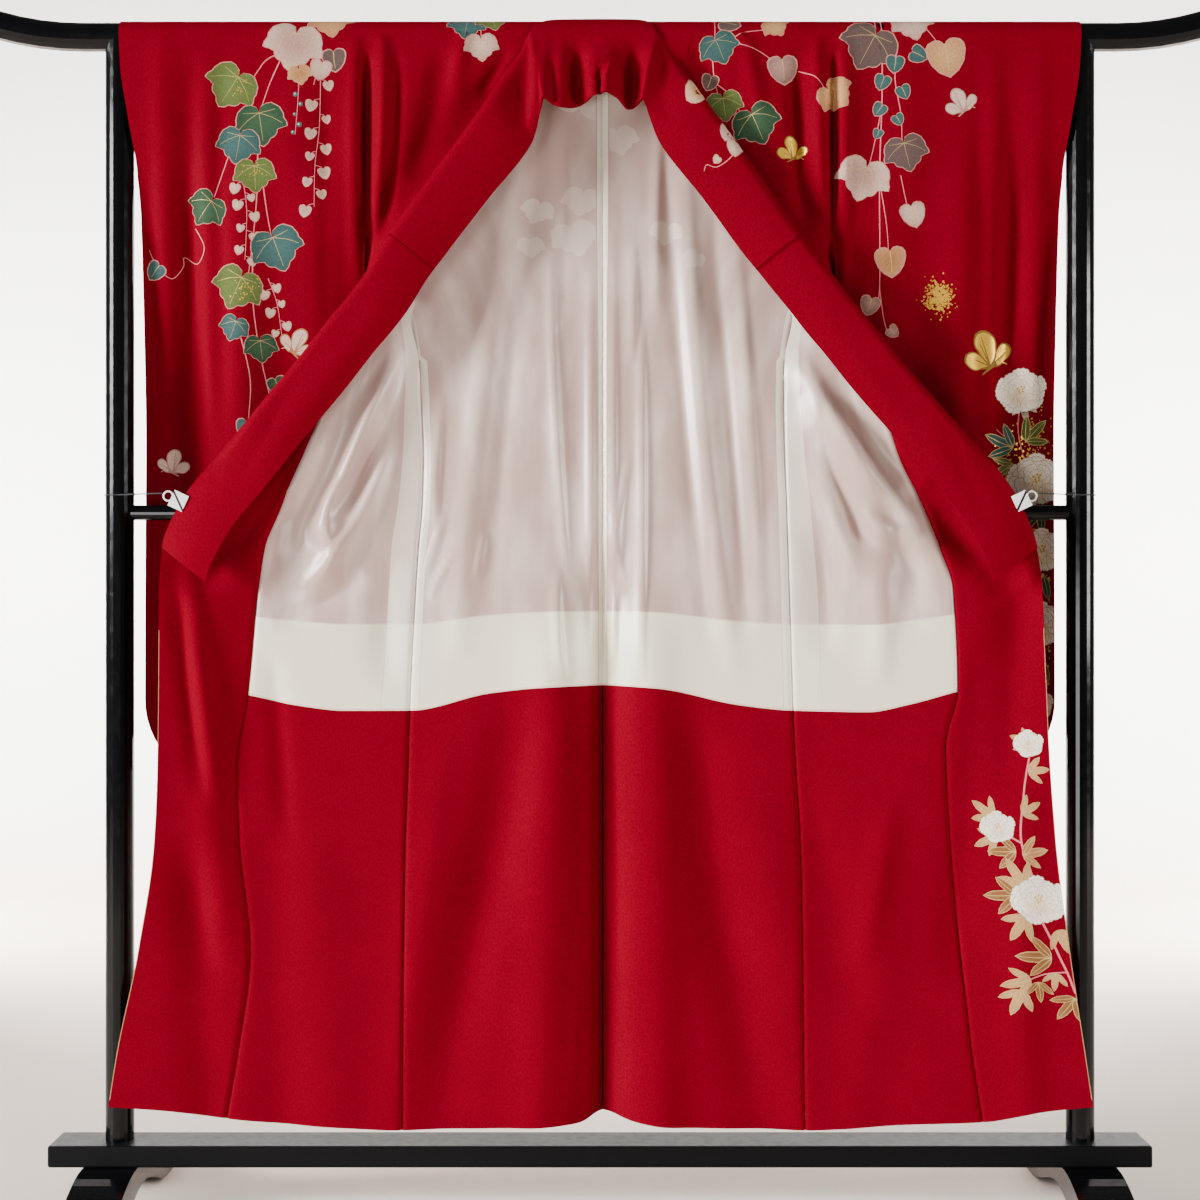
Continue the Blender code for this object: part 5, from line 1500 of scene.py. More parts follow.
# Prints, as distances outward from the middle of the rack and drops from the bar's top
PRINTS = {
    Side.LEFT: (
        Vine(((0.452, 0.062), (0.478, 0.072), (0.494, 0.092), (0.506, 0.112))),
        Vine(((0.456, 0.066), (0.474, 0.105), (0.487, 0.142))),
        Vine(((0.492, 0.19), (0.494, 0.27), (0.5, 0.33), (0.51, 0.395))),
        Vine(((0.486, 0.245), (0.48, 0.29), (0.474, 0.326))),
        Vine(((0.52, 0.178), (0.536, 0.215), (0.556, 0.27))),
        Vine(((0.5, 0.33), (0.502, 0.42), (0.492, 0.5), (0.48, 0.56), (0.474, 0.62))),
        Vine(((0.52, 0.47), (0.508, 0.53), (0.512, 0.59))),
        Vine(((0.586, 0.312), (0.572, 0.34), (0.584, 0.362), (0.604, 0.352), (0.606, 0.366),
              (0.62, 0.384), (0.634, 0.376)), 0.0014, 0.001),
        Vine(((0.636, 0.368), (0.648, 0.356), (0.654, 0.342)), 0.0012, 0.0008),
        Vine(((0.386, 0.08), (0.404, 0.085), (0.412, 0.11)), 0.0014),
        String(Heart, ((0.402, 0.095), (0.404, 0.17), (0.41, 0.225), (0.411, 0.285)), 10, 0.016),
        String(Berry, ((0.432, 0.075), (0.434, 0.13), (0.438, 0.182)), 8, 0.0065, Tone.TEAL),
        String(Heart, ((0.516, 0.232), (0.508, 0.29), (0.512, 0.36)), 9, 0.015, Tone.SHELL),
        String(Heart, ((0.48, 0.385), (0.468, 0.42), (0.462, 0.465)), 6, 0.014, Tone.SHELL),
        Ivy(0.392, -0.012, 0.052, -8.0, Tone.SAND),
        Heart(0.384, 0.056, 0.036, -6.0, Tone.GREY),
        Heart(0.399, 0.072, 0.032, 12.0, Tone.SHELL),
        Ivy(0.434, 0.022, 0.067, 12.0, Tone.BEIGE),
        Ivy(0.434, 0.082, 0.028, -10.0, Tone.TAN),
        Ivy(0.514, 0.088, 0.061, 34.0, Tone.GREEN),
        Ivy(0.492, 0.138, 0.059, -8.0, Tone.FOREST),
        Ivy(0.516, 0.172, 0.051, 10.0, Tone.TEAL),
        Ivy(0.498, 0.216, 0.048, -3.0, Tone.GREEN),
        Ivy(0.554, 0.268, 0.048, 38.0, Tone.FOREST),
        Ivy(0.476, 0.316, 0.061, -20.0, Tone.TEAL),
        Heart(0.636, 0.362, 0.03, 40.0, Tone.TEAL),
        Ivy(0.512, 0.374, 0.059, 26.0, Tone.GREEN),
        Ivy(0.524, 0.44, 0.036, 22.0, Tone.TEAL),
        Ivy(0.494, 0.466, 0.039, -6.0, Tone.FOREST),
        Heart(0.474, 0.524, 0.03, -18.0, Tone.FOREST),
        Heart(0.514, 0.586, 0.028, 14.0, Tone.TEAL),
        Ivy(0.47, 0.61, 0.041, 4.0, Tone.GREEN),
        GoldFlakes(0.512, 0.4, 0.01, 0.009, 40, 21, 0.002),
        GoldFlakes(0.516, 0.11, 0.008, 0.008, 30, 22, 0.002),
        GoldFlakes(0.498, 0.235, 0.007, 0.007, 30, 23, 0.002),
        Butterfly(0.446, 0.492, 0.032, 168.0, Tone.FAWN),
        Butterfly(0.626, 0.664, 0.029, 150.0, Tone.SHELL),
        Vine(((0.204, -0.06), (0.2, 0.0), (0.192, 0.03))),
        Vine(((0.166, -0.04), (0.172, 0.01), (0.17, 0.05))),
        Ivy(0.19, 0.0, 0.044, 6.0, Tone.TEAL),
        Ivy(0.16, -0.01, 0.041, -14.0, Tone.GREEN),
        Ivy(0.172, 0.036, 0.039, -4.0, Tone.SHELL),
        Vine(((0.052, -0.1), (0.046, -0.2), (0.05, -0.31))),
        Ivy(0.03, -0.196, 0.049, 176.0, Tone.SHELL),
        Ivy(0.06, -0.25, 0.046, 200.0, Tone.TEAL),
        Heart(0.04, -0.3, 0.04, 170.0, Tone.SHELL),
    ),
    Side.RIGHT: (
        Vine(((0.16, -0.04), (0.165, 0.01), (0.165, 0.044))),
        Vine(((0.188, 0.046), (0.206, 0.034), (0.24, 0.03)), 0.0014),
        Vine(((0.19, 0.048), (0.226, 0.06), (0.25, 0.076)), 0.0014),
        Vine(((0.286, 0.088), (0.308, 0.098), (0.326, 0.12)), 0.0014),
        Vine(((0.162, 0.075), (0.166, 0.105), (0.176, 0.138)), 0.0016),
        Vine(((0.168, 0.106), (0.186, 0.122), (0.202, 0.148)), 0.0014),
        Heart(0.172, 0.012, 0.034, 70.0, Tone.GREY),
        Ivy(0.244, 0.01, 0.033, 34.0, Tone.SAND),
        Ivy(0.163, 0.036, 0.046, 22.0, Tone.TEAL),
        Heart(0.261, 0.066, 0.045, 6.0, Tone.DUSK),
        Heart(0.162, 0.092, 0.026, -20.0, Tone.GREY),
        Ivy(0.176, 0.118, 0.043, 8.0, Tone.GREEN),
        Ivy(0.214, 0.142, 0.056, 24.0, Tone.FOREST),
        Ivy(0.322, 0.11, 0.044, 48.0, Tone.SAND),
        Butterfly(0.278, 0.216, 0.028, 150.0, Tone.GOLD),
        Vine(((0.392, -0.05), (0.396, 0.01), (0.396, 0.04))),
        Vine(((0.404, -0.05), (0.406, 0.11), (0.402, 0.26), (0.404, 0.4), (0.398, 0.42))),
        Vine(((0.428, 0.048), (0.424, 0.1), (0.432, 0.15), (0.434, 0.192))),
        Vine(((0.406, 0.14), (0.396, 0.19), (0.388, 0.222)), 0.0014),
        Vine(((0.432, 0.24), (0.438, 0.268), (0.443, 0.288)), 0.0014),
        Vine(((0.404, 0.26), (0.412, 0.31), (0.416, 0.35)), 0.0014),
        Vine(((0.404, 0.4), (0.41, 0.44), (0.416, 0.462)), 0.0012),
        Vine(((0.462, 0.02), (0.476, 0.036), (0.488, 0.052)), 0.0014),
        Ivy(0.444, -0.004, 0.049, 14.0, Tone.SHELL),
        Ivy(0.402, 0.026, 0.067, -28.0, Tone.GREY),
        Heart(0.494, 0.042, 0.058, 10.0, Tone.SAND),
        Heart(0.446, 0.06, 0.028, 64.0, Tone.TEAL),
        Heart(0.426, 0.066, 0.028, -8.0, Tone.TEAL),
        Heart(0.41, 0.094, 0.025, -20.0, Tone.TEAL),
        Heart(0.432, 0.11, 0.023, 24.0, Tone.TEAL),
        Heart(0.408, 0.136, 0.022, -36.0, Tone.TEAL),
        Heart(0.424, 0.152, 0.019, 30.0, Tone.TEAL),
        Heart(0.403, 0.172, 0.016, -24.0, Tone.TEAL),
        Ivy(0.434, 0.184, 0.051, 14.0, Tone.GREY),
        Ivy(0.387, 0.216, 0.061, -16.0, Tone.BEIGE),
        Heart(0.446, 0.278, 0.038, 16.0, Tone.SHELL),
        Heart(0.417, 0.34, 0.046, 6.0, Tone.TAN),
        Heart(0.394, 0.41, 0.03, -16.0, Tone.DUSK),
        Heart(0.417, 0.455, 0.02, 50.0, Tone.DUSK),
        Butterfly(0.524, 0.148, 0.03, 165.0, Tone.SHELL),
        GoldFlakes(0.49, 0.412, 0.01, 0.011, 420, 11, 0.0028),
        Butterfly(0.57, 0.512, 0.046, 160.0, Tone.GOLD),
        GoldFlakes(0.632, 0.62, 0.017, 0.03, 190, 12, 0.0026),
        GoldFlakes(0.598, 0.662, 0.015, 0.017, 90, 13, 0.0026),
        GoldFlakes(0.64, 0.85, 0.016, 0.07, 200, 14, 0.003),
        Vine(((0.616, 0.556), (0.612, 0.6), (0.622, 0.65))),
        Vine(((0.612, 0.624), (0.596, 0.612), (0.58, 0.6)), 0.0014),
        PeonyLeaf(0.618, 0.56, 0.03, 10.0, Tone.MIST),
        PeonyLeaf(0.606, 0.626, 0.048, -112.0, Tone.TEAL),
        PeonyLeaf(0.622, 0.618, 0.044, 136.0, Tone.OLIVE),
        PeonyLeaf(0.606, 0.65, 0.042, -58.0, Tone.MOSS),
        Peony(0.615, 0.54, 0.044, 0.0, Tone.WHITE),
        Peony(0.64, 0.668, 0.052, 0.0, Tone.IVORY),
        PeonyLeaf(0.646, 0.716, 0.044, -40.0, Tone.PINE),
        Peony(0.648, 0.772, 0.044, 0.0, Tone.IVORY),
        PeonyLeaf(0.65, 0.812, 0.044, -30.0, Tone.FERN),
        Peony(0.646, 0.88, 0.046, 0.0, Tone.LINEN),
        PeonyLeaf(0.642, 0.93, 0.05, -20.0, Tone.OLIVE),
        PeonyLeaf(0.654, 0.965, 0.046, -60.0, Tone.TEAL),
        Peony(0.636, 1.0, 0.034, 0.0, Tone.IVORY),
        Vine(((0.044, -0.1), (0.04, -0.18), (0.046, -0.26))),
        Ivy(0.034, -0.2, 0.048, 190.0, Tone.TEAL),
        Heart(0.052, -0.262, 0.042, 160.0, Tone.SHELL),
    ),
}

# Print on the facing of the right overlap, as distances from its seam and drops
OVERLAP_PRINTS = (
    Vine(((0.122, 1.285), (0.108, 1.235), (0.1, 1.19), (0.11, 1.13), (0.122, 1.082)),
         0.0034, 0.0022),
    Vine(((0.1, 1.2), (0.086, 1.192), (0.074, 1.184)), 0.0026, 0.002),
    Vine(((0.112, 1.3), (0.128, 1.34), (0.142, 1.385), (0.149, 1.42)), 0.0034, 0.003),
    Vine(((0.142, 1.385), (0.11, 1.388), (0.078, 1.4)), 0.0024, 0.0018),
    PeonyLeaf(0.118, 1.08, 0.028, 160.0, Tone.SAND),
    PeonyLeaf(0.122, 1.066, 0.029, -110.0, Tone.SAND),
    PeonyLeaf(0.118, 1.104, 0.031, 96.0, Tone.SAND),
    PeonyLeaf(0.104, 1.16, 0.031, 118.0, Tone.SAND),
    PeonyLeaf(0.064, 1.166, 0.036, -128.0, Tone.SAND),
    PeonyLeaf(0.066, 1.192, 0.034, -66.0, Tone.SAND),
    PeonyLeaf(0.092, 1.212, 0.04, -90.0, Tone.BROWN),
    PeonyLeaf(0.1, 1.216, 0.038, 100.0, Tone.TAN),
    PeonyLeaf(0.098, 1.258, 0.043, -150.0, Tone.SAND),
    PeonyLeaf(0.086, 1.272, 0.046, -88.0, Tone.BROWN),
    PeonyLeaf(0.094, 1.302, 0.043, -36.0, Tone.SAND),
    PeonyLeaf(0.136, 1.322, 0.038, 24.0, Tone.SAND),
    PeonyLeaf(0.124, 1.362, 0.052, -94.0, Tone.BROWN),
    PeonyLeaf(0.126, 1.386, 0.031, -10.0, Tone.SAND),
    PeonyLeaf(0.09, 1.396, 0.043, -78.0, Tone.SAND),
    PeonyLeaf(0.1, 1.4, 0.034, 0.0, Tone.BROWN),
    PeonyLeaf(0.076, 1.412, 0.043, -26.0, Tone.SAND),
    PeonyLeaf(0.148, 1.428, 0.045, -40.0, Tone.BROWN),
    Peony(0.121, 1.064, 0.025, 0.0, Tone.WHITE),
    Peony(0.069, 1.176, 0.029, 0.0, Tone.WHITE),
    Peony(0.116, 1.274, 0.047, 0.0, Tone.WHITE),
)

# Print on the collar and painted shadow across the over-collar's ends, as distances from its seam
# and from the back of the neck
OVER_COLLAR_RUN = NECK_RUN + BAR_HEIGHT - OVER_COLLAR_FOOT
SEAM_SHADOW_WIDTH = 0.0018
COLLAR_PRINTS = (
    Strip(0.0, COLLAR_WIDTH, -OVER_COLLAR_RUN, SEAM_SHADOW_WIDTH - OVER_COLLAR_RUN, Dye.SEAM_SHADOW, 0.8),
    Strip(0.0, COLLAR_WIDTH, OVER_COLLAR_RUN - SEAM_SHADOW_WIDTH, OVER_COLLAR_RUN, Dye.SEAM_SHADOW, 0.8),
    Heart(0.0, 0.236, 0.026, 100.0, Tone.CREAM),
    Heart(-0.004, 0.29, 0.024, 60.0, Tone.SHELL),
    Vine(((0.004, 0.318), (0.026, 0.322), (0.046, 0.32), (0.054, 0.31), (0.062, 0.314)),
         0.0013, 0.0009),
    Heart(0.004, 0.308, 0.022, 40.0, Tone.SHELL),
    Heart(0.034, 0.312, 0.012, 80.0, Tone.SHELL),
)

# Double layers, edges and painted seam shadow of the white lining, as distances from its side seam
# and drops
LINING_BACK_STRIPS = (
    Strip(0.293, 0.3, -0.996, -0.085), Strip(0.2914, 0.293, -0.996, -0.085, Dye.PAINTED_SEAM_SHADE, 0.55),
    Strip(0.0035, 0.014, -0.996, -0.4, Dye.SEAM_CREAM, 0.6),
    Strip(0.014, 0.0152, -0.996, -0.4, Dye.PAINTED_SEAM_SHADE, 0.35),
    Strip(0.0, 0.3, -0.9962, -0.9935, Dye.EDGE_PINK, 0.7),
)
LINING_FRONT_STRIPS = (
    Strip(0.0, 0.052, 0.395, 0.996, Dye.SEAM_CREAM, 0.45),
    Strip(0.052, 0.0532, 0.395, 0.996, Dye.PAINTED_SEAM_SHADE, 0.35),
    Strip(0.0, 0.3, 0.9935, 0.9962, Dye.EDGE_PINK, 0.7),
)
# Painted seam shadow along both edges of the facings
FACING_SEAM_SHADOWS = (
    Strip(0.0, 0.0018, -1.6, -0.997, Dye.SEAM_SHADOW, 0.85),
    Strip(0.2972, 0.3, -1.6, -0.997, Dye.SEAM_SHADOW, 0.85),
    Strip(0.0, 0.0016, 0.997, 1.6, Dye.SEAM_SHADOW, 0.85),
    Strip(0.298, 0.3, 0.997, 1.6, Dye.SEAM_SHADOW, 0.75),
)
FACING_EDGE_STRIPS = (
    Strip(0.0, 0.001, 0.997, 1.6, Dye.PIPING, 0.6), Strip(0.149, 0.15, 0.9, 1.6, Dye.SAND, 0.8),
)
# Leaves that show through the back lining, as distances from its side seam and drops
SHOW_THROUGH = {
    Side.LEFT: (
        ShowThrough(0.268, -0.14, 0.066, 20.0), ShowThrough(0.276, -0.25, 0.04, 190.0),
        ShowThrough(0.258, -0.3, 0.05, 165.0), ShowThrough(0.222, -0.268, 0.034, 200.0),
        ShowThrough(0.206, -0.322, 0.03, 180.0),
    ),
    Side.RIGHT: (
        ShowThrough(0.282, -0.16, 0.04, 190.0), ShowThrough(0.214, -0.3, 0.034, 170.0),
        ShowThrough(0.17, -0.345, 0.026, 150.0),
    ),
}

CDT_MARGIN = 1e-6
EDGE_MARGIN = 0.0008


def within(places: Array, outline: Array) -> Array:
    """Return which flat places lie inside a closed outline.

    Args:
        places: Flat places, one row each.
        outline: The outline's corners in order.

    Returns:
        The numbers of the places inside.
    """
    low, high = outline.min(axis=0), outline.max(axis=0)
    near = np.flatnonzero(((places >= low) & (places <= high)).all(axis=1))
    x, y = places[near, 0][:, None], places[near, 1][:, None]
    start, end = outline, np.roll(outline, -1, axis=0)
    crosses = (start[:, 1] > y) != (end[:, 1] > y)
    rise = np.where(end[:, 1] == start[:, 1], 1.0, end[:, 1] - start[:, 1])
    at = start[:, 0] + (y - start[:, 1]) / rise * (end[:, 0] - start[:, 0])
    return near[(crosses & (x < at)).sum(axis=1) % 2 == 1]


def print_on(
    shares: Array,
    rows: Array,
    limits: Callable[[Array], Edges],
    motifs: Sequence[Motif | Vine | String | GoldFlakes],
    printed: Point,
    sewn_end: bool = False,
) -> Pattern:
    """Cut a panel whose faces follow the outlines of its print.

    Args:
        shares: The columns, from 0 to 1.
        rows: The rows, along the cloth.
        limits: Gives the flat places of the panel's two edges at each row.
        motifs: The print.
        printed: First and last row of the stretch that can hold print.
        sewn_end: Whether the print stops short of the edge at share 1.

    Returns:
        The pattern. Its first points are the grid's.
    """
    row, share = (values.ravel() for values in np.meshgrid(rows, shares, indexing="ij"))
    start, end = limits(row)
    grid = np.stack([mix(start, end, share), row], axis=-1)
    columns = len(shares)
    first = int(np.searchsorted(rows, printed[0] - TINY))
    last = int(np.searchsorted(rows, printed[1] + TINY)) - 1
    low, high = rows[first], rows[last]
    shapes = []
    for motif in motifs:
        for shape in motif.shapes():
            outline = shape.outline.copy()
            if outline[:, 1].max() < low or outline[:, 1].min() > high:
                continue
            outline[:, 1] = np.clip(outline[:, 1], low + EDGE_MARGIN, high - EDGE_MARGIN)
            if sewn_end:
                near, far = limits(outline[:, 1])
                inward = np.sign(near - far)
                limit = far + inward * EDGE_MARGIN
                past = (outline[:, 0] - limit) * inward < 0.0
                outline[:, 0] = np.where(past, limit, outline[:, 0])
            shapes.append((outline, shape))
    stretch = range(first * columns, (last + 1) * columns)
    top, bottom = first * columns, last * columns
    border = [*range(top, top + columns),
              *range(top + 2 * columns - 1, bottom + columns, columns),
              *range(bottom + columns - 2, bottom - 1, -1),
              *range(bottom - columns, top, -columns)]
    places = [grid[stretch]]
    outlines = [[v - top for v in border]]
    count = len(stretch)
    for outline, _ in shapes:
        outlines.append(list(range(count, count + len(outline))))
        places.append(outline)
        count += len(outline)
    flat = [Vector(place) for place in np.concatenate(places).tolist()]
    verts, _, faces, sources, _, _ = delaunay_2d_cdt(flat, [], outlines, 0, CDT_MARGIN, True)
    flat = np.array([tuple(v) for v in verts])
    number = np.full(len(flat), -1)
    for out, source in enumerate(sources):
        kept = [v for v in source if v < len(stretch)]
        if kept:
            number[out] = kept[0] + top
    added = np.flatnonzero(number < 0)
    number[added] = len(grid) + np.arange(len(added))
    triangles = np.array(faces)
    if start[0] > end[0]:
        triangles = triangles[:, ::-1]
    middles = flat[triangles].mean(axis=1)
    inside = within(middles, grid[border])
    triangles, middles = triangles[inside], middles[inside]
    colours = np.zeros((len(triangles), 3, 4))
    gilt = np.zeros((len(triangles), 3))
    for outline, shape in shapes:
        covered = within(middles, outline)
        corners = flat[triangles[covered]]
        colours[covered] = shape.colours(corners.reshape(-1, 2)).reshape(-1, 3, 4)
        gilt[covered] = shape.gilt
    plain = [
        (a, a + 1, a + columns + 1, a + columns)
        for i in (*range(first), *range(last, len(rows) - 1))
        for a in range(i * columns, i * columns + columns - 1)
    ]
    all_faces = plain + [tuple(face) for face in number[triangles].tolist()]
    blank = 4 * len(plain)
    colours = np.concatenate([np.zeros((blank, 4)), colours.reshape(-1, 4)])
    gilt = np.concatenate([np.zeros(blank), gilt.ravel()])
    near, far = limits(flat[added, 1])
    new_share = (flat[added, 0] - near) / (far - near)
    return Pattern(
        np.concatenate([share, new_share]),
        np.concatenate([row, flat[added, 1]]),
        all_faces,
        np.concatenate([grid, flat[added]]),
        colours,
        gilt,
    )


@dataclass
class Wall:
    """A closed wall of cloth between two distances out from a surface."""

    name: str
    near: float
    far: float
    outer: Material
    inner: Material | None = None
    points: list[Array] = field(default_factory=list)
    normals: list[Array] = field(default_factory=list)
    uvs: list[Array] = field(default_factory=list)
    faces: list[tuple[int, ...]] = field(default_factory=list)
    corner_colours: list[Array] = field(default_factory=list)
    corner_gilt: list[Array] = field(default_factory=list)

    SHARP_ANGLE = 50.0
    MERGE = 1e-6
    FLAT = 1e-7

    def add(self, pattern: Pattern, surface: SurfaceMap, sign: float) -> int:
        """Lay one pattern over a surface.

        Args:
            pattern: The cut panel.
            surface: Gives the points of the panel from shares and rows.
            sign: Turns the normals to the cloth's right side.

        Returns:
            The number of the pattern's first point in the wall.
        """
        start = sum(len(p) for p in self.points)
        share, row = pattern.share, pattern.row
        step = NORMAL_STEP
        across = surface(share + step, row) - surface(share - step, row)
        along = surface(share, row + step) - surface(share, row - step)
        self.points.append(surface(share, row))
        self.normals.append(sign * unit(np.cross(across, along)))
        self.uvs.append(pattern.uv)
        for face in pattern.faces:
            self.faces.append(tuple(v + start for v in face))
        corners = sum(len(face) for face in pattern.faces)
        if pattern.colour is None:
            self.corner_colours.append(np.zeros((corners, 4)))
            self.corner_gilt.append(np.zeros(corners))
        else:
            self.corner_colours.append(pattern.colour)
            self.corner_gilt.append(pattern.gilt)
        return start

    def make(self) -> bpy.types.Object:
        """Build the closed wall as one object.

        Returns:
            The new object, at the origin.
        """
        points, normals = np.concatenate(self.points), np.concatenate(self.normals)
        count = len(points)
        vertices = np.concatenate([points + normals * self.far, points + normals * self.near])
        directed = {(f[k], f[(k + 1) % len(f)]) for f in self.faces for k in range(len(f))}
        border = sorted((a, b) for a, b in directed if (b, a) not in directed)
        inner = [tuple(v + count for v in reversed(f)) for f in self.faces]
        rim = [(b, a, a + count, b + count) for a, b in border]
        faces = self.faces + inner + rim
        mesh = bpy.data.meshes.new(self.name)
        mesh.from_pydata(vertices.tolist(), [], faces)
        mesh.materials.append(self.outer)
        if self.inner is not None:
            mesh.materials.append(self.inner)
            slots = [0] * len(self.faces) + [1] * len(inner) + [0] * len(rim)
            mesh.polygons.foreach_set("material_index", slots)
        corner_points = np.concatenate([np.array(f) % count for f in faces])
        layer = mesh.uv_layers.new(name="cloth")
        layer.data.foreach_set("uv", np.concatenate(self.uvs)[corner_points].ravel())
        self.paint(mesh, len(corner_points))
        surface = bmesh.new()
        surface.from_mesh(mesh)
        bmesh.ops.remove_doubles(surface, verts=surface.verts, dist=self.MERGE)
        bmesh.ops.dissolve_degenerate(surface, edges=surface.edges, dist=self.FLAT)
        bmesh.ops.recalc_face_normals(surface, faces=surface.faces)
        surface.to_mesh(mesh)
        surface.free()
        mesh.shade_smooth()
        mesh.set_sharp_from_angle(angle=math.radians(self.SHARP_ANGLE))
        piece = bpy.data.objects.new(self.name, mesh)
        bpy.context.scene.collection.objects.link(piece)
        return piece

    def paint(self, mesh: bpy.types.Mesh, corners: int) -> None:
        """Write the printed colours, which only the right side has.

        Args:
            mesh: The wall's mesh.
            corners: How many face corners it has.
        """
        colours, gilt = np.concatenate(self.corner_colours), np.concatenate(self.corner_gilt)
        colours = np.concatenate([colours, np.zeros((corners - len(colours), 4))])
        gilt = np.concatenate([gilt, np.zeros(corners - len(gilt))])
        dye = mesh.attributes.new("dye", "FLOAT_COLOR", "CORNER")
        dye.data.foreach_set("color", colours.ravel())
        gold = mesh.attributes.new("gilt", "FLOAT", "CORNER")
        gold.data.foreach_set("value", gilt)


class Paint:
    """A new material, with short ways to add the nodes that the finishes share."""

    def __init__(self, name: str) -> None:
        """Start the material with its Principled shader."""
        self.material = bpy.data.materials.new(name)
        self.material.use_nodes = True

    def put(self, item: bpy.types.Node, inputs: Inputs) -> None:
        """Join or set some inputs of a node.

        Args:
            item: The node.
            inputs: For each input, the socket that it is joined to or else its value.
        """
        for name, value in inputs.items():
            if isinstance(value, Socket):
                self.material.node_tree.links.new(value, item.inputs[name])
            else:
                item.inputs[name].default_value = value

    def add(self, kind: str, output: str | int, inputs: Inputs, **settings: object) -> Socket:
        """Add a node.

        Args:
            kind: Its type name, without the first part that all share.
            output: The output that is wanted.
            inputs: For each input, the socket that it is joined to or else its value.
            **settings: The node's own properties.

        Returns:
            That output.
        """
        item = self.material.node_tree.nodes.new("ShaderNode" + kind)
        for name, value in settings.items():
            setattr(item, name, value)
        self.put(item, inputs)
        return item.outputs[output]

    def cloth(self) -> Socket:
        """Return the place on the flat cloth, in metres."""
        return self.add("UVMap", "UV", {}, uv_map="cloth")

    def place(self) -> Socket:
        """Return the place on the object, in metres."""
        return self.add("TexCoord", "Object", {})

    def stretched(self, place: Socket, along: float) -> Socket:
        """Return a place on the cloth, with its length scaled so that a pattern is drawn out."""
        return self.add("Mapping", "Vector", {"Vector": place, "Scale": (1.0, along, 1.0)})

    def noise(self, place: Socket, scale: float, detail: float, **more: float) -> Socket:
        """Return noise with so many features a metre."""
        inputs = {"Vector": place, "Scale": scale, "Detail": detail} | more
        return self.add("TexNoise", "Fac", inputs)

    def span(self, value: Socket, start: float, end: float, low: float = 0.0,
             high: float = 1.0, shape: str = "LINEAR") -> Socket:
        """Return a value whose stretch from start to end becomes one from low to high."""
        inputs = {"Value": value, "From Min": start, "From Max": end, "To Min": low, "To Max": high}
        return self.add("MapRange", "Result", inputs, interpolation_type=shape)

    def blend(self, factor: object, first: object, second: object, **settings: object) -> Socket:
        """Return a mix of two colours."""
        inputs = {MIX_FACTOR: factor, MIX_A: first, MIX_B: second}
        return self.add("Mix", MIX_OUT, inputs, data_type="RGBA", **settings)

    def printed(self, ground: Socket) -> Socket:
        """Return the ground's colour with the dyes of the print over it."""
        cover = self.add("Attribute", "Alpha", {}, attribute_name="dye")
        return self.blend(cover, ground, cover.node.outputs["Color"])

    def bump(self, height: Socket, strength: float, depth: float) -> Socket:
        """Return the normals of a fine relief."""
        inputs = {"Height": height, "Strength": strength, "Distance": depth}
        return self.add("Bump", "Normal", inputs)

    def finish(self, inputs: Inputs) -> Material:
        """Set the Principled shader's inputs and return the material."""
        self.put(self.material.node_tree.nodes["Principled BSDF"], inputs)
        return self.material


@dataclass(frozen=True)
class SilkCrepe:
    """Chirimen, silk crepe woven from hard-twisted thread, dyed and printed in paste.

    The twist gives a fine pebble that breaks up the highlight, so the red looks deep and dry, with
    a soft sheen along the folds. The pebble is drawn at 2.4 mm, coarser than the real 1 mm.
    """

    name: str = "red_silk_crepe"
    base: str = "740019"
    shade: str = "600012"
    highlight: str = "FF3040"
    sheen_tint: str = "FF0018"
    roughness: float = 0.56
    gilt_roughness: float = 0.34
    gilt_metal: float = 0.55
    pebble: float = 0.0024
    pebble_stretch: float = 0.62
    pebble_depth: float = 0.00022
    pebble_strength: float = 0.8
    pebble_roughness: float = 0.55
    # How the pebble darkens its hollows and lightens its crowns in the colour: painted shade and
    # highlight
    pebble_painted_shading: tuple[float, float, float, float] = (0.30, 0.62, 0.80, 1.05)
    patches: float = 9.0
    patch_gain: float = 0.55
    patch_offset: float = -0.05
    gloss: float = 0.02
    sheen: float = 0.06
    sheen_roughness: float = 0.4

    def make(self) -> Material:
        """Return the material."""
        paint = Paint(self.name)
        cloth = paint.cloth()
        pebble = paint.noise(paint.stretched(cloth, self.pebble_stretch), 1.0 / self.pebble, 2.0,
                             Roughness=self.pebble_roughness)
        patches = paint.noise(cloth, self.patches, 3.0)
        uneven = {0: patches, 1: self.patch_gain, 2: self.patch_offset}
        ground = paint.blend(paint.add("Math", 0, uneven, operation="MULTIPLY_ADD"),
                             colour(self.base), colour(self.shade))
        gilt = paint.add("Attribute", "Fac", {}, attribute_name="gilt")
        # The pebble's height tints the colour, darker in its hollows and a little lighter on its
        # crowns: painted shade and highlight
        tone = paint.span(pebble, *self.pebble_painted_shading)
        return paint.finish({
            "Base Color": paint.blend(1.0, paint.printed(ground), tone, blend_type="MULTIPLY"),
            "Roughness": paint.span(gilt, 0.0, 1.0, self.roughness, self.gilt_roughness),
            "Metallic": paint.add("Math", 0, {0: gilt, 1: self.gilt_metal}, operation="MULTIPLY"),
            "Normal": paint.bump(pebble, self.pebble_strength, self.pebble_depth),
            "Specular IOR Level": self.gloss,
            "Specular Tint": colour(self.highlight),
            "Sheen Weight": self.sheen,
            "Sheen Roughness": self.sheen_roughness,
            "Sheen Tint": colour(self.sheen_tint),
        })


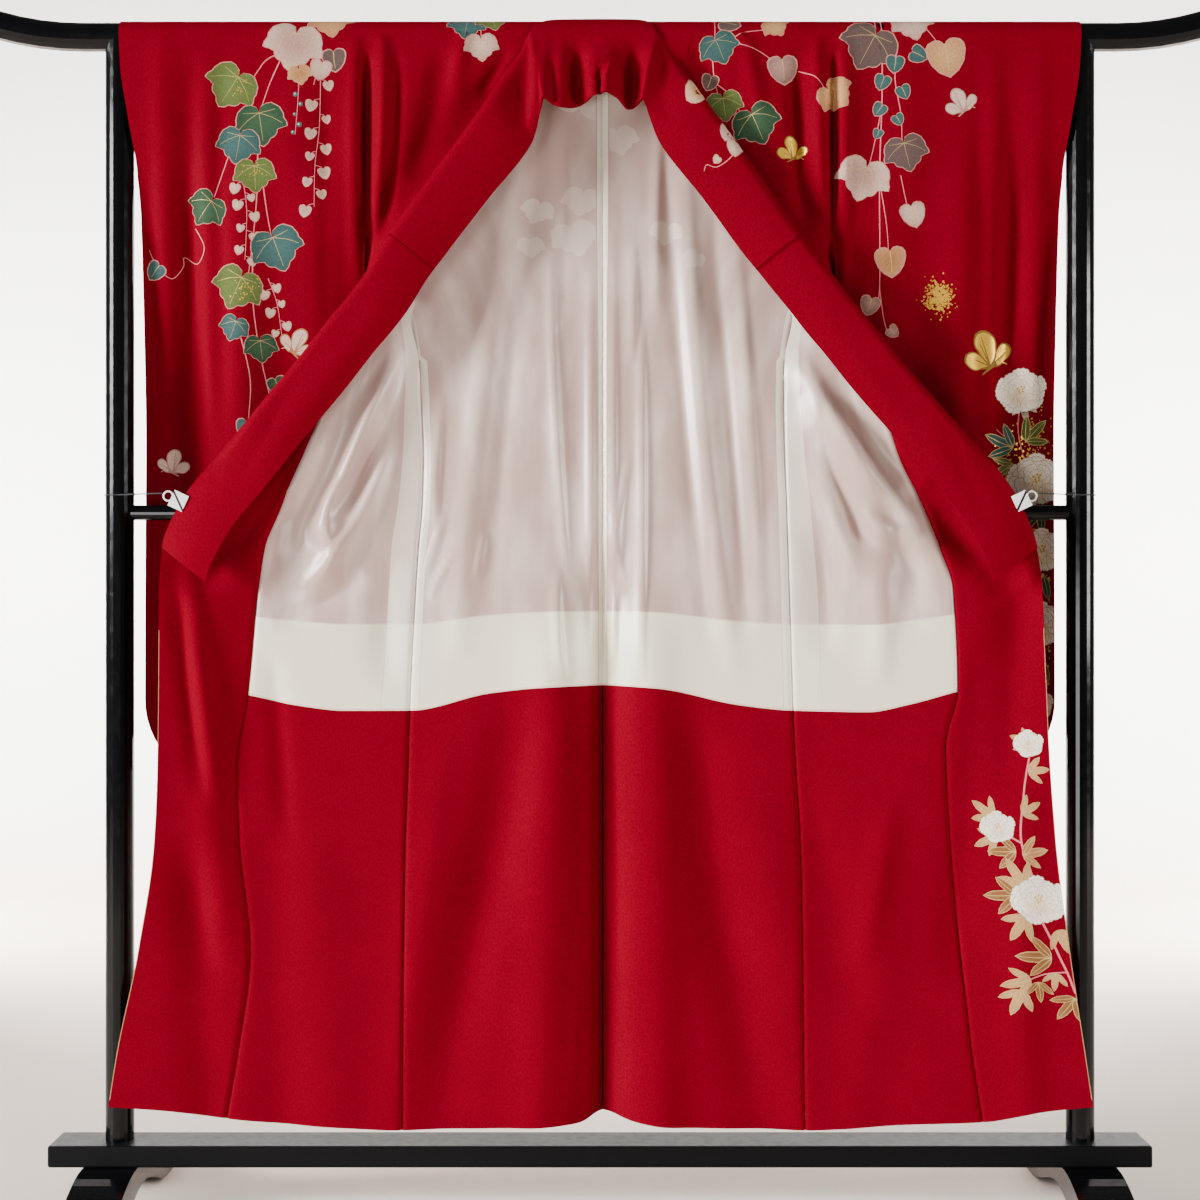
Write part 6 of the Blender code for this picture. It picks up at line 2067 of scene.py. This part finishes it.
@dataclass(frozen=True)
class LiningSilk:
    """Habutae, thin plain-woven white silk.

    It is smooth and a little see-through, so it takes a mauve cast from the red behind it and
    shines like satin along its folds, helped by long pale streaks of painted highlight in its
    colour. The lowest band lies over white cloth and looks cream.
    """

    name: str = "white_lining_silk"
    veil: str = "BA9B92"
    # Long pale streaks over the veil: painted satin highlight
    painted_highlight: str = "D6C0B6"
    cream: str = "F0E8CC"
    roughness: float = 0.34
    band_top: float = 0.118
    band_blur: float = 0.002
    foot: float = BAR_HEIGHT + QUARTER_TURN - LINING_FOOT
    painted_highlight_scale: float = 15.0
    painted_highlight_stretch: float = 0.32
    painted_highlight_span: Point = (0.40, 0.72)
    thread: float = 0.0016
    thread_depth: float = 0.00006
    thread_strength: float = 0.35
    gloss: float = 0.55
    sheen: float = 0.12

    def make(self) -> Material:
        """Return the material."""
        paint = Paint(self.name)
        cloth = paint.cloth()
        along = paint.add("SeparateXYZ", "Y", {"Vector": cloth})
        down = paint.add("Math", 0, {0: along}, operation="ABSOLUTE")
        edge = self.foot - self.band_top
        band = paint.span(down, edge - self.band_blur, edge + self.band_blur, shape="SMOOTHSTEP")
        # Streaks drawn out down the cloth, blended toward the pale colour: painted satin highlight
        highlight_noise = paint.noise(paint.stretched(cloth, self.painted_highlight_stretch), self.painted_highlight_scale, 3.0)
        veil = paint.blend(paint.span(highlight_noise, *self.painted_highlight_span, shape="SMOOTHSTEP"),
                           colour(self.veil), colour(self.painted_highlight))
        weave = paint.noise(cloth, 1.0 / self.thread, 1.0)
        return paint.finish({
            "Base Color": paint.printed(paint.blend(band, veil, colour(self.cream))),
            "Normal": paint.bump(weave, self.thread_strength, self.thread_depth),
            "Roughness": self.roughness,
            "Specular IOR Level": self.gloss,
            "Sheen Weight": self.sheen,
        })


@dataclass(frozen=True)
class Lacquer:
    """Black lacquer over turned wood, sprayed and polished.

    It is a deep black with hard clear reflections and a faint ripple that bends them. The base
    beam's is rubbed dull, and shows only a grey haze on top.
    """

    name: str = "black_lacquer"
    base: str = "08080A"
    roughness: float = 0.10
    gloss: float = 0.22
    wear: float = 0.08
    wear_scale: float = 90.0
    wear_span: Point = (0.45, 0.75)
    ripple_scale: float = 24.0
    ripple_depth: float = 0.0004
    ripple_strength: float = 0.25

    def make(self) -> Material:
        """Return the material."""
        paint = Paint(self.name)
        place = paint.place()
        worn = paint.noise(place, self.wear_scale, 4.0)
        dull = self.roughness + self.wear
        ripple = paint.noise(place, self.ripple_scale, 2.0)
        return paint.finish({
            "Base Color": colour(self.base),
            "Roughness": paint.span(worn, *self.wear_span, self.roughness, dull),
            "Normal": paint.bump(ripple, self.ripple_strength, self.ripple_depth),
            "Specular IOR Level": self.gloss,
        })


@dataclass(frozen=True)
class EnamelledSteel:
    """Spring steel under glossy white enamel.

    The fold between the two jaws shows as a black line across the middle of each clip.
    """

    name: str = "white_enamelled_steel"
    base: str = "EDEDEA"
    line: str = "0A0A0A"
    roughness: float = 0.28
    centre: tuple[float, float, float] = (CLIP_X, 0.0, CLIP_HEIGHT)
    turn: float = CLIP_TURN
    half_line: float = 0.0016

    def make(self) -> Material:
        """Return the material."""
        paint = Paint(self.name)
        angle = math.radians(self.turn)
        mirrored = paint.add("VectorMath", 0, {0: paint.place()}, operation="ABSOLUTE")
        moved = paint.add("VectorMath", 0, {0: mirrored, 1: self.centre}, operation="SUBTRACT")
        jaws = {0: moved, 1: (math.cos(angle), 0.0, math.sin(angle))}
        along = paint.add("VectorMath", "Value", jaws, operation="DOT_PRODUCT")
        far = paint.add("Math", 0, {0: along}, operation="ABSOLUTE")
        dark = paint.add("Math", 0, {0: far, 1: self.half_line}, operation="LESS_THAN")
        return paint.finish({
            "Base Color": paint.blend(dark, colour(self.base), colour(self.line)),
            "Roughness": self.roughness,
        })


@dataclass(frozen=True)
class TwistedCord:
    """Thin cotton cord of twisted strands, dyed black: matt, with a slanting rib."""

    name: str = "black_cord"
    base: str = "17181C"
    # Colour of the strands' raised crowns: painted highlight
    light: str = "303238"
    roughness: float = 0.8
    rib: float = 0.0018
    rib_depth: float = 0.0002
    rib_strength: float = 0.6
    unevenness: float = 0.4

    def make(self) -> Material:
        """Return the material."""
        paint = Paint(self.name)
        wave = {"Vector": paint.place(), "Scale": 0.5 / self.rib, "Distortion": self.unevenness}
        rib = paint.add("TexWave", "Fac", wave, bands_direction="DIAGONAL")
        return paint.finish({
            # The rib's raised strands are coloured lighter: painted highlight along the twist
            "Base Color": paint.blend(rib, colour(self.base), colour(self.light)),
            "Normal": paint.bump(rib, self.rib_strength, self.rib_depth),
            "Roughness": self.roughness,
        })


@dataclass(frozen=True)
class StudioPaper:
    """Seamless background paper: pale, matt and even."""

    name: str = "studio_paper"
    base: str = "F6F4F1"
    floor: str = "FBEADB"
    floor_rise: float = 0.26
    roughness: float = 0.7

    def make(self) -> Material:
        """Return the material."""
        paint = Paint(self.name)
        height = paint.add("SeparateXYZ", "Z", {"Vector": paint.place()})
        rise = paint.span(height, 0.0, self.floor_rise, shape="SMOOTHSTEP")
        return paint.finish({
            "Base Color": paint.blend(rise, colour(self.floor), colour(self.base)),
            "Roughness": self.roughness,
        })


@dataclass(frozen=True)
class Finishes:
    """Every finish, made once."""

    crepe: Material
    lining: Material
    lacquer: Material
    rubbed_lacquer: Material
    steel: Material
    cord: Material

    @classmethod
    def make(cls) -> Finishes:
        """Return all the finishes."""
        return cls(SilkCrepe().make(), LiningSilk().make(), Lacquer().make(),
                   Lacquer("rubbed_lacquer", roughness=0.50, gloss=0.09).make(),
                   EnamelledSteel().make(), TwistedCord().make())


def drop_to(z: float) -> float:
    """Return the distance along the cloth from the bar's top to a height."""
    return BAR_HEIGHT + QUARTER_TURN - z


def height_of(drop: Array) -> Array:
    """Return the height at a distance along the cloth from the bar's top, below the bar."""
    return BAR_HEIGHT + QUARTER_TURN - np.abs(drop)


def finish_piece(piece: bpy.types.Object, *nodes: str) -> None:
    """Join a piece to the rack's body, in place of the solids that it dresses."""
    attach(piece, "root")
    if nodes:
        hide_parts(*nodes)
    LOG.info("%s: %d faces", piece.name, len(piece.data.polygons))


@dataclass
class BodyPanels:
    """The two body panels: front and back in one length, over the bar, with their inner layers."""

    drape: Drape
    finishes: Finishes
    width: float = 0.300
    front_width: float = 0.240
    lining_top: float = 1.65
    printed: Point = (-0.36, 0.29)

    def make(self, side: Side) -> None:
        """Build one body panel and what lies on its inner face.

        Args:
            side: Which side of the rack.
        """
        self.outside(side)
        foot, hem = drop_to(LINING_FOOT), drop_to(HEM_HEIGHT)
        back_top, front_top = drop_to(self.lining_top), drop_to(LINING_TOP_FRONT)
        self.layer(side, "lining_back", -foot, -back_top, self.finishes.lining,
                   SHOW_THROUGH[side] + LINING_BACK_STRIPS)
        self.layer(side, "facing_back", -hem, -foot, self.finishes.crepe, FACING_SEAM_SHADOWS[:2])
        self.layer(side, "lining_front", front_top, foot, self.finishes.lining, LINING_FRONT_STRIPS)
        self.layer(side, "facing_front", foot, hem, self.finishes.crepe, FACING_SEAM_SHADOWS[2:])

    def surface(self, side: Side) -> SurfaceMap:
        """Return the surface of one panel."""
        return lambda share, drop: self.drape.body(side, share, drop)

    def edges(self, side: Side, drop: Array) -> Edges:
        """Return how far outward the panel's outer and inner edges are, near the bar."""
        _, angle, z = over_and_down(drop)
        track = self.drape.front_track[side]
        neck = side.sign * self.drape.neck_x(side, np.maximum(angle, NECK_START_ANGLE))
        front = np.where(drop > QUARTER_TURN, track["seam"](z), neck)
        inner = np.where(angle > NECK_START_ANGLE, front, side.sign * CENTRE_SEAM)
        outer = np.where(drop > 0.0, track["side"](z), self.drape.back_side_track(z))
        return outer, inner

    def outside(self, side: Side) -> None:
        """Build the red outside of one panel."""
        hem = drop_to(HEM_HEIGHT)
        rows = np.concatenate([
            rows_down(-hem, -QUARTER_TURN)[:-1],
            rows_down(-QUARTER_TURN, QUARTER_TURN, BAR_ROW_STEP),
            rows_down(QUARTER_TURN, hem)[1:],
        ])
        wall = Wall(f"body_panel_{side.value}", -WALL / 2, WALL / 2, self.finishes.crepe)
        pattern = print_on(columns_across(self.width), rows,
                           lambda drop: self.edges(side, drop), PRINTS[side], self.printed)
        wall.add(pattern, self.surface(side), side.sign)
        piece = wall.make()
        finish_piece(piece, f"body_{side.value}")

    def flat_edges(self, drop: Array) -> Edges:
        """Return where the edges of a flat lining are."""
        return np.zeros(drop.shape), np.full(drop.shape, self.width)

    def layer(self, side: Side, name: str, start: float, end: float,
              material: Material, motifs: Sequence[Strip | Motif] = ()) -> None:
        """Build one lining or facing, which lies on the panel's inner face.

        Args:
            side: Which side of the rack.
            name: The solid that it dresses.
            start: Where its first row is, from the bar's top.
            end: Where its last row is.
            material: Its cloth.
            motifs: Its strips and show-through.
        """
        wall = Wall(f"silk_{name}_{side.value}", LINING_NEAR, LINING_NEAR + LINING_WALL, material)
        step = LINING_STEP if material is self.finishes.lining else COLUMN_STEP
        columns, rows = columns_across(self.width, step), rows_down(start, end)
        pattern = Pattern.plain(columns, rows, self.width)
        if motifs:
            pattern = print_on(columns, rows, self.flat_edges, motifs, (start, end))
        wall.add(pattern, self.surface(side), -side.sign)
        piece = wall.make()
        finish_piece(piece, f"{name}_{side.value}")


@dataclass
class OverlapPanels:
    """The two overlap panels, with the red facing that lines them from the collar to the hem."""

    drape: Drape
    finishes: Finishes
    width: float = 0.150
    area_share: float = 0.78

    def edges(self, drop: Array) -> Edges:
        """Return where the flat panel's seam and free edge are."""
        return np.zeros(drop.shape), np.full(drop.shape, self.width)

    def make(self, side: Side) -> None:
        """Build one overlap panel and its facing.

        Args:
            side: Which side of the rack.
        """
        rows = rows_down(drop_to(OKUMI_TIP), drop_to(HEM_HEIGHT))
        pattern = Pattern.plain(columns_across(self.width), rows, self.width)

        def surface(share: Array, drop: Array) -> Array:
            return self.drape.okumi(side, share, height_of(drop))

        outside = Wall(f"overlap_panel_{side.value}", -WALL / 2, WALL / 2, self.finishes.crepe)
        outside.add(pattern, surface, side.sign)
        piece = outside.make()
        finish_piece(piece, f"okumi_{side.value}")
        inside = Wall(f"silk_facing_okumi_{side.value}", LINING_NEAR,
                      LINING_NEAR + LINING_WALL, self.finishes.crepe)
        motifs = FACING_EDGE_STRIPS + (OVERLAP_PRINTS if side is Side.RIGHT else ())
        pattern = print_on(columns_across(self.width), rows, self.edges, motifs,
                           (rows[0], rows[-1]))
        inside.add(pattern, surface, -side.sign)
        piece = inside.make()
        finish_piece(piece, f"facing_okumi_{side.value}")


@dataclass
class Sleeves:
    """The two long sleeves: one length each, folded at the shoulder and sewn round the pouch."""

    drape: Drape
    finishes: Finishes
    width: float = 0.330

    def make(self, side: Side) -> None:
        """Build one sleeve, a bag that is open at the cuff and along its inner edge.

        Args:
            side: Which side of the rack.
        """
        corner = drop_to(SLEEVE_BOTTOM + SLEEVE_CORNER)
        turn = np.linspace(0.0, math.pi / 2, SLEEVE_CORNER_ROWS)
        round_rows = corner + SLEEVE_CORNER * np.sin(turn)
        front = np.concatenate([rows_down(QUARTER_TURN, corner), round_rows[1:]])
        over = rows_down(-QUARTER_TURN, QUARTER_TURN, BAR_ROW_STEP)[1:-1]
        rows = np.concatenate([-front[::-1], over, front])
        shares = columns_across(self.width)

        def surface(share: Array, drop: Array) -> Array:
            return self.drape.sleeve(side, share, drop)

        def edges(drop: Array) -> Edges:
            z = np.minimum(height_of(drop), BAR_HEIGHT)
            outer = self.drape.sleeve_track["outer"](z) - self.drape.sleeve_outline(z)
            return np.full(drop.shape, SLEEVE_SEAM), outer

        pattern = print_on(shares, rows, edges, PRINTS[side], (rows[0], rows[-1]), True)
        wall = Wall(f"sleeve_bag_{side.value}", -WALL / 2, WALL / 2, self.finishes.crepe,
                    self.finishes.lining)
        wall.add(pattern, surface, -side.sign)
        self.close_rim(wall, rows, len(shares), side)
        piece = wall.make()
        finish_piece(piece, f"sleeve_{side.value}")

    def close_rim(self, wall: Wall, rows: Array, columns: int, side: Side) -> None:
        """Join the two layers round the pouch, from the cuff's foot to the inner edge.

        Args:
            wall: The sleeve, with its two layers.
            rows: The rows of its pattern.
            columns: How many columns the pattern has.
            side: Which side of the rack.
        """
        cuff = drop_to(CUFF_BOTTOM)
        last = len(rows) - 1
        sewn = [i for i, row in enumerate(rows) if row <= -cuff]
        inward = range(columns - 2, -1, -1)
        back = [i * columns + columns - 1 for i in reversed(sewn)] + list(inward)
        front = [(last - i) * columns + columns - 1 for i in reversed(sewn)]
        front += [last * columns + j for j in inward]
        points, uvs = wall.points[0], wall.uvs[0]
        a, b = points[back], points[front]
        bulge = RIM_BULGE * (a[:, 1] - b[:, 1])
        middle = (a + b) / 2
        share = smooth((middle[:, 2] - SLEEVE_BOTTOM) / SLEEVE_CORNER)
        middle[:, 0] += side.sign * bulge * share
        middle[:, 2] -= bulge * (1.0 - share)
        start = len(points)
        wall.points.append(middle)
        wall.normals.append(unit(middle - (a + b) / 2 + TINY))
        wall.uvs.append(uvs[front])
        ridge = range(start, start + len(back))
        for line, other in ((back, ridge), (ridge, front)):
            for k in range(len(back) - 1):
                wall.faces.append((line[k], line[k + 1], other[k + 1], other[k]))
        corners = 4 * 2 * (len(back) - 1)
        wall.corner_colours.append(np.zeros((corners, 4)))
        wall.corner_gilt.append(np.zeros(corners))


@dataclass
class CollarBand:
    """The collar from end to end, and the over-collar on its middle stretch."""

    drape: Drape
    finishes: Finishes
    width: float = 0.110
    finished_width: float = COLLAR_WIDTH
    slant: float = 1.25
    arc_run: float = NECK_RUN
    blend: float = 0.085
    neck_step: float = 0.005

    def surface(self, share: Array, run: Array) -> Array:
        """Return points of the collar by the distance from the back of the neck.

        Args:
            share: 0 at the seam and 1 at the free fold.
            run: Distance from the middle of the back, negative on the left.

        Returns:
            The points.
        """
        halves = [self.half(side, share, np.abs(run)) for side in (Side.LEFT, Side.RIGHT)]
        return np.where((run < 0.0)[:, None], halves[0], halves[1])

    def half(self, side: Side, share: Array, run: Array) -> Array:
        """Return points of one half of the collar."""
        turn = np.clip(run / self.arc_run, 0.0, 1.0)
        angle = NECK_START_ANGLE + (180.0 - NECK_START_ANGLE) * turn
        z = BAR_HEIGHT - np.clip(run - self.arc_run, 0.0, None)
        neck = self.drape.neck(side, share, angle)
        band = self.drape.band(side, share, z)
        weight = smooth((BAR_HEIGHT - z) / self.blend)[:, None]
        return mix(neck, band, weight)

    def edges(self, run: Array) -> Edges:
        """Return where the flat collar's seam and fold are."""
        return np.zeros(run.shape), np.full(run.shape, self.finished_width)

    def rows(self, foot: float) -> Array:
        """Return the rows from one foot of the collar to the other."""
        end = self.arc_run + BAR_HEIGHT - foot
        down = rows_down(self.arc_run + self.blend, end)
        half = np.concatenate([rows_down(0.0, self.arc_run + self.blend, self.neck_step), down[1:]])
        return np.concatenate([-half[:0:-1], half])

    def make(self) -> None:
        """Build the collar and the over-collar."""
        shares = columns_across(self.width)
        for name, foot, near, far, node in (
            ("collar_band", COLLAR_FOOT, -COLLAR_BAND / 2, COLLAR_BAND / 2, "collar"),
            ("over_collar_band", OVER_COLLAR_FOOT, COLLAR_BAND / 2 + SEAM_GAP,
             COLLAR_BAND / 2 + SEAM_GAP + LINING, "over_collar"),
        ):
            rows = self.rows(foot)
            wall = Wall(name, near, far, self.finishes.crepe)
            motifs = COLLAR_PRINTS if node == "over_collar" else ()
            pattern = print_on(shares, rows, self.edges, motifs, (rows[0], rows[-1]))
            wall.add(pattern, self.surface, 1.0)
            piece = wall.make()
            finish_piece(piece, node)


@dataclass
class Rack:
    """The lacquered rack, the clips and the ties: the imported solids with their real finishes."""

    finishes: Finishes
    lacquered: tuple[str, ...] = (
        "top_bar", "post_left", "post_right", "crossbar", "foot_left", "foot_right",
    )
    rubbed: tuple[str, ...] = ("base_beam",)
    enamelled: tuple[str, ...] = ("clip_left", "clip_right")
    corded: tuple[str, ...] = ("tie_left", "tie_right")

    def make(self, nodes: dict[str, bpy.types.Object]) -> None:
        """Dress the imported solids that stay.

        Args:
            nodes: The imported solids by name.
        """
        for names, material in ((self.lacquered, self.finishes.lacquer),
                                (self.rubbed, self.finishes.rubbed_lacquer),
                                (self.enamelled, self.finishes.steel),
                                (self.corded, self.finishes.cord)):
            for name in names:
                for slot in nodes[name].material_slots:
                    slot.material = material
            LOG.info("dressed %s", ", ".join(names))


@dataclass(frozen=True)
class Lamp:
    """A square soft light: where it stands, what it points at, its side, power and spread."""

    name: str
    place: tuple[float, float, float]
    target: tuple[float, float, float]
    size: float
    power: float
    spread: float = 180.0

    def make(self) -> None:
        """Add the light."""
        lamp = bpy.data.lights.new(self.name, "AREA")
        lamp.shape = "SQUARE"
        lamp.size = self.size
        lamp.spread = math.radians(self.spread)
        lamp.energy = self.power
        light = bpy.data.objects.new(self.name, lamp)
        light.location = self.place
        aim = Vector(self.target) - Vector(self.place)
        light.rotation_euler = aim.to_track_quat("-Z", "Y").to_euler()
        bpy.context.scene.collection.objects.link(light)


@dataclass
class Studio:
    """The pale paper sweep, the soft lights and the camera."""

    depth: float = 3.4
    half_width: float = 6.0
    height: float = 4.5
    curve: float = 1.0
    camera_distance: float = 2.9
    camera_height: float = 0.83
    lens: float = 60.0
    sensor: float = 36.0
    shift_up: float = 0.0267
    air: str = "F6F1EB"
    air_strength: float = 0.15

    FRONT_EDGE = -6.0
    CURVE_STEPS = 16
    LAMPS = rows_of(
        Lamp,
        ("left_softbox", (-8.5, -3.4, 2.6), (0.3, 0.0, 0.3), 2.2, 208.0, 52.0),
        ("right_softbox", (6.2, -2.5, 1.6), (-0.3, 0.0, 0.6), 1.7, 360.0),
        ("front_softbox", (-1.4, -3.2, 0.5), (0.0, 0.0, 0.5), 1.0, 46.0),
        ("left_paper_light", (-2.5, 2.4, 1.3), (-0.6, 4.4, 1.2), 1.6, 370.0),
        ("right_paper_light", (2.5, 2.4, 1.3), (0.6, 4.4, 1.2), 1.6, 370.0),
    )

    def make(self) -> None:
        """Build the studio."""
        self.sweep()
        self.lights()
        self.camera()

    def sweep(self) -> None:
        """Build the floor and the background in one curved sheet of paper."""
        profile = [(self.FRONT_EDGE, 0.0), (self.depth, 0.0)]
        for k in range(1, self.CURVE_STEPS + 1):
            turn = math.pi / 2 * k / self.CURVE_STEPS
            profile.append((self.depth + self.curve * math.sin(turn),
                            self.curve * (1.0 - math.cos(turn))))
        profile.append((self.depth + self.curve, self.height))
        vertices = [(x, y, z) for y, z in profile for x in (-self.half_width, self.half_width)]
        faces = [(2 * k, 2 * k + 1, 2 * k + 3, 2 * k + 2) for k in range(len(profile) - 1)]
        mesh = bpy.data.meshes.new("paper_sweep")
        mesh.from_pydata(vertices, [], faces)
        mesh.materials.append(StudioPaper().make())
        mesh.shade_smooth()
        sweep = bpy.data.objects.new("paper_sweep", mesh)
        bpy.context.scene.collection.objects.link(sweep)
        sweep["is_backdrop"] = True

    def lights(self) -> None:
        """Add the soft lights."""
        world = bpy.data.worlds.new("studio_air")
        bpy.context.scene.world = world
        world.use_nodes = True
        background = world.node_tree.nodes["Background"]
        background.inputs["Color"].default_value = colour(self.air)
        background.inputs["Strength"].default_value = self.air_strength
        for lamp in self.LAMPS:
            lamp.make()

    def camera(self) -> None:
        """Add the camera, level and square to the rack as in the photograph."""
        lens = bpy.data.cameras.new("camera")
        lens.lens = self.lens
        lens.sensor_width = self.sensor
        lens.shift_y = self.shift_up
        eye = bpy.data.objects.new("camera", lens)
        eye.location = (0.0, -self.camera_distance, self.camera_height)
        eye.rotation_euler = (math.pi / 2, 0.0, 0.0)
        bpy.context.scene.collection.objects.link(eye)
        bpy.context.scene.camera = eye


def write_sizes(before: tuple[Vector, Vector]) -> None:
    """Measure the solids' box and the dressed model's box; the result is not kept."""
    boxes = {"solids": before, "dressed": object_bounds()}
    {name: [list(corner) for corner in box] for name, box in boxes.items()}


def main() -> None:
    """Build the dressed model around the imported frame."""
    logging.basicConfig(level=logging.INFO, format="%(name)s: %(message)s")
    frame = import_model()
    solids_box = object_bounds()
    studio = Studio()
    studio.make()
    finishes = Finishes.make()
    drape = Drape()
    Rack(finishes).make(frame["nodes"])
    for side in Side:
        BodyPanels(drape, finishes).make(side)
        OverlapPanels(drape, finishes).make(side)
        Sleeves(drape, finishes).make(side)
    CollarBand(drape, finishes).make()
    write_sizes(solids_box)


if __name__ == "__main__":
    main()
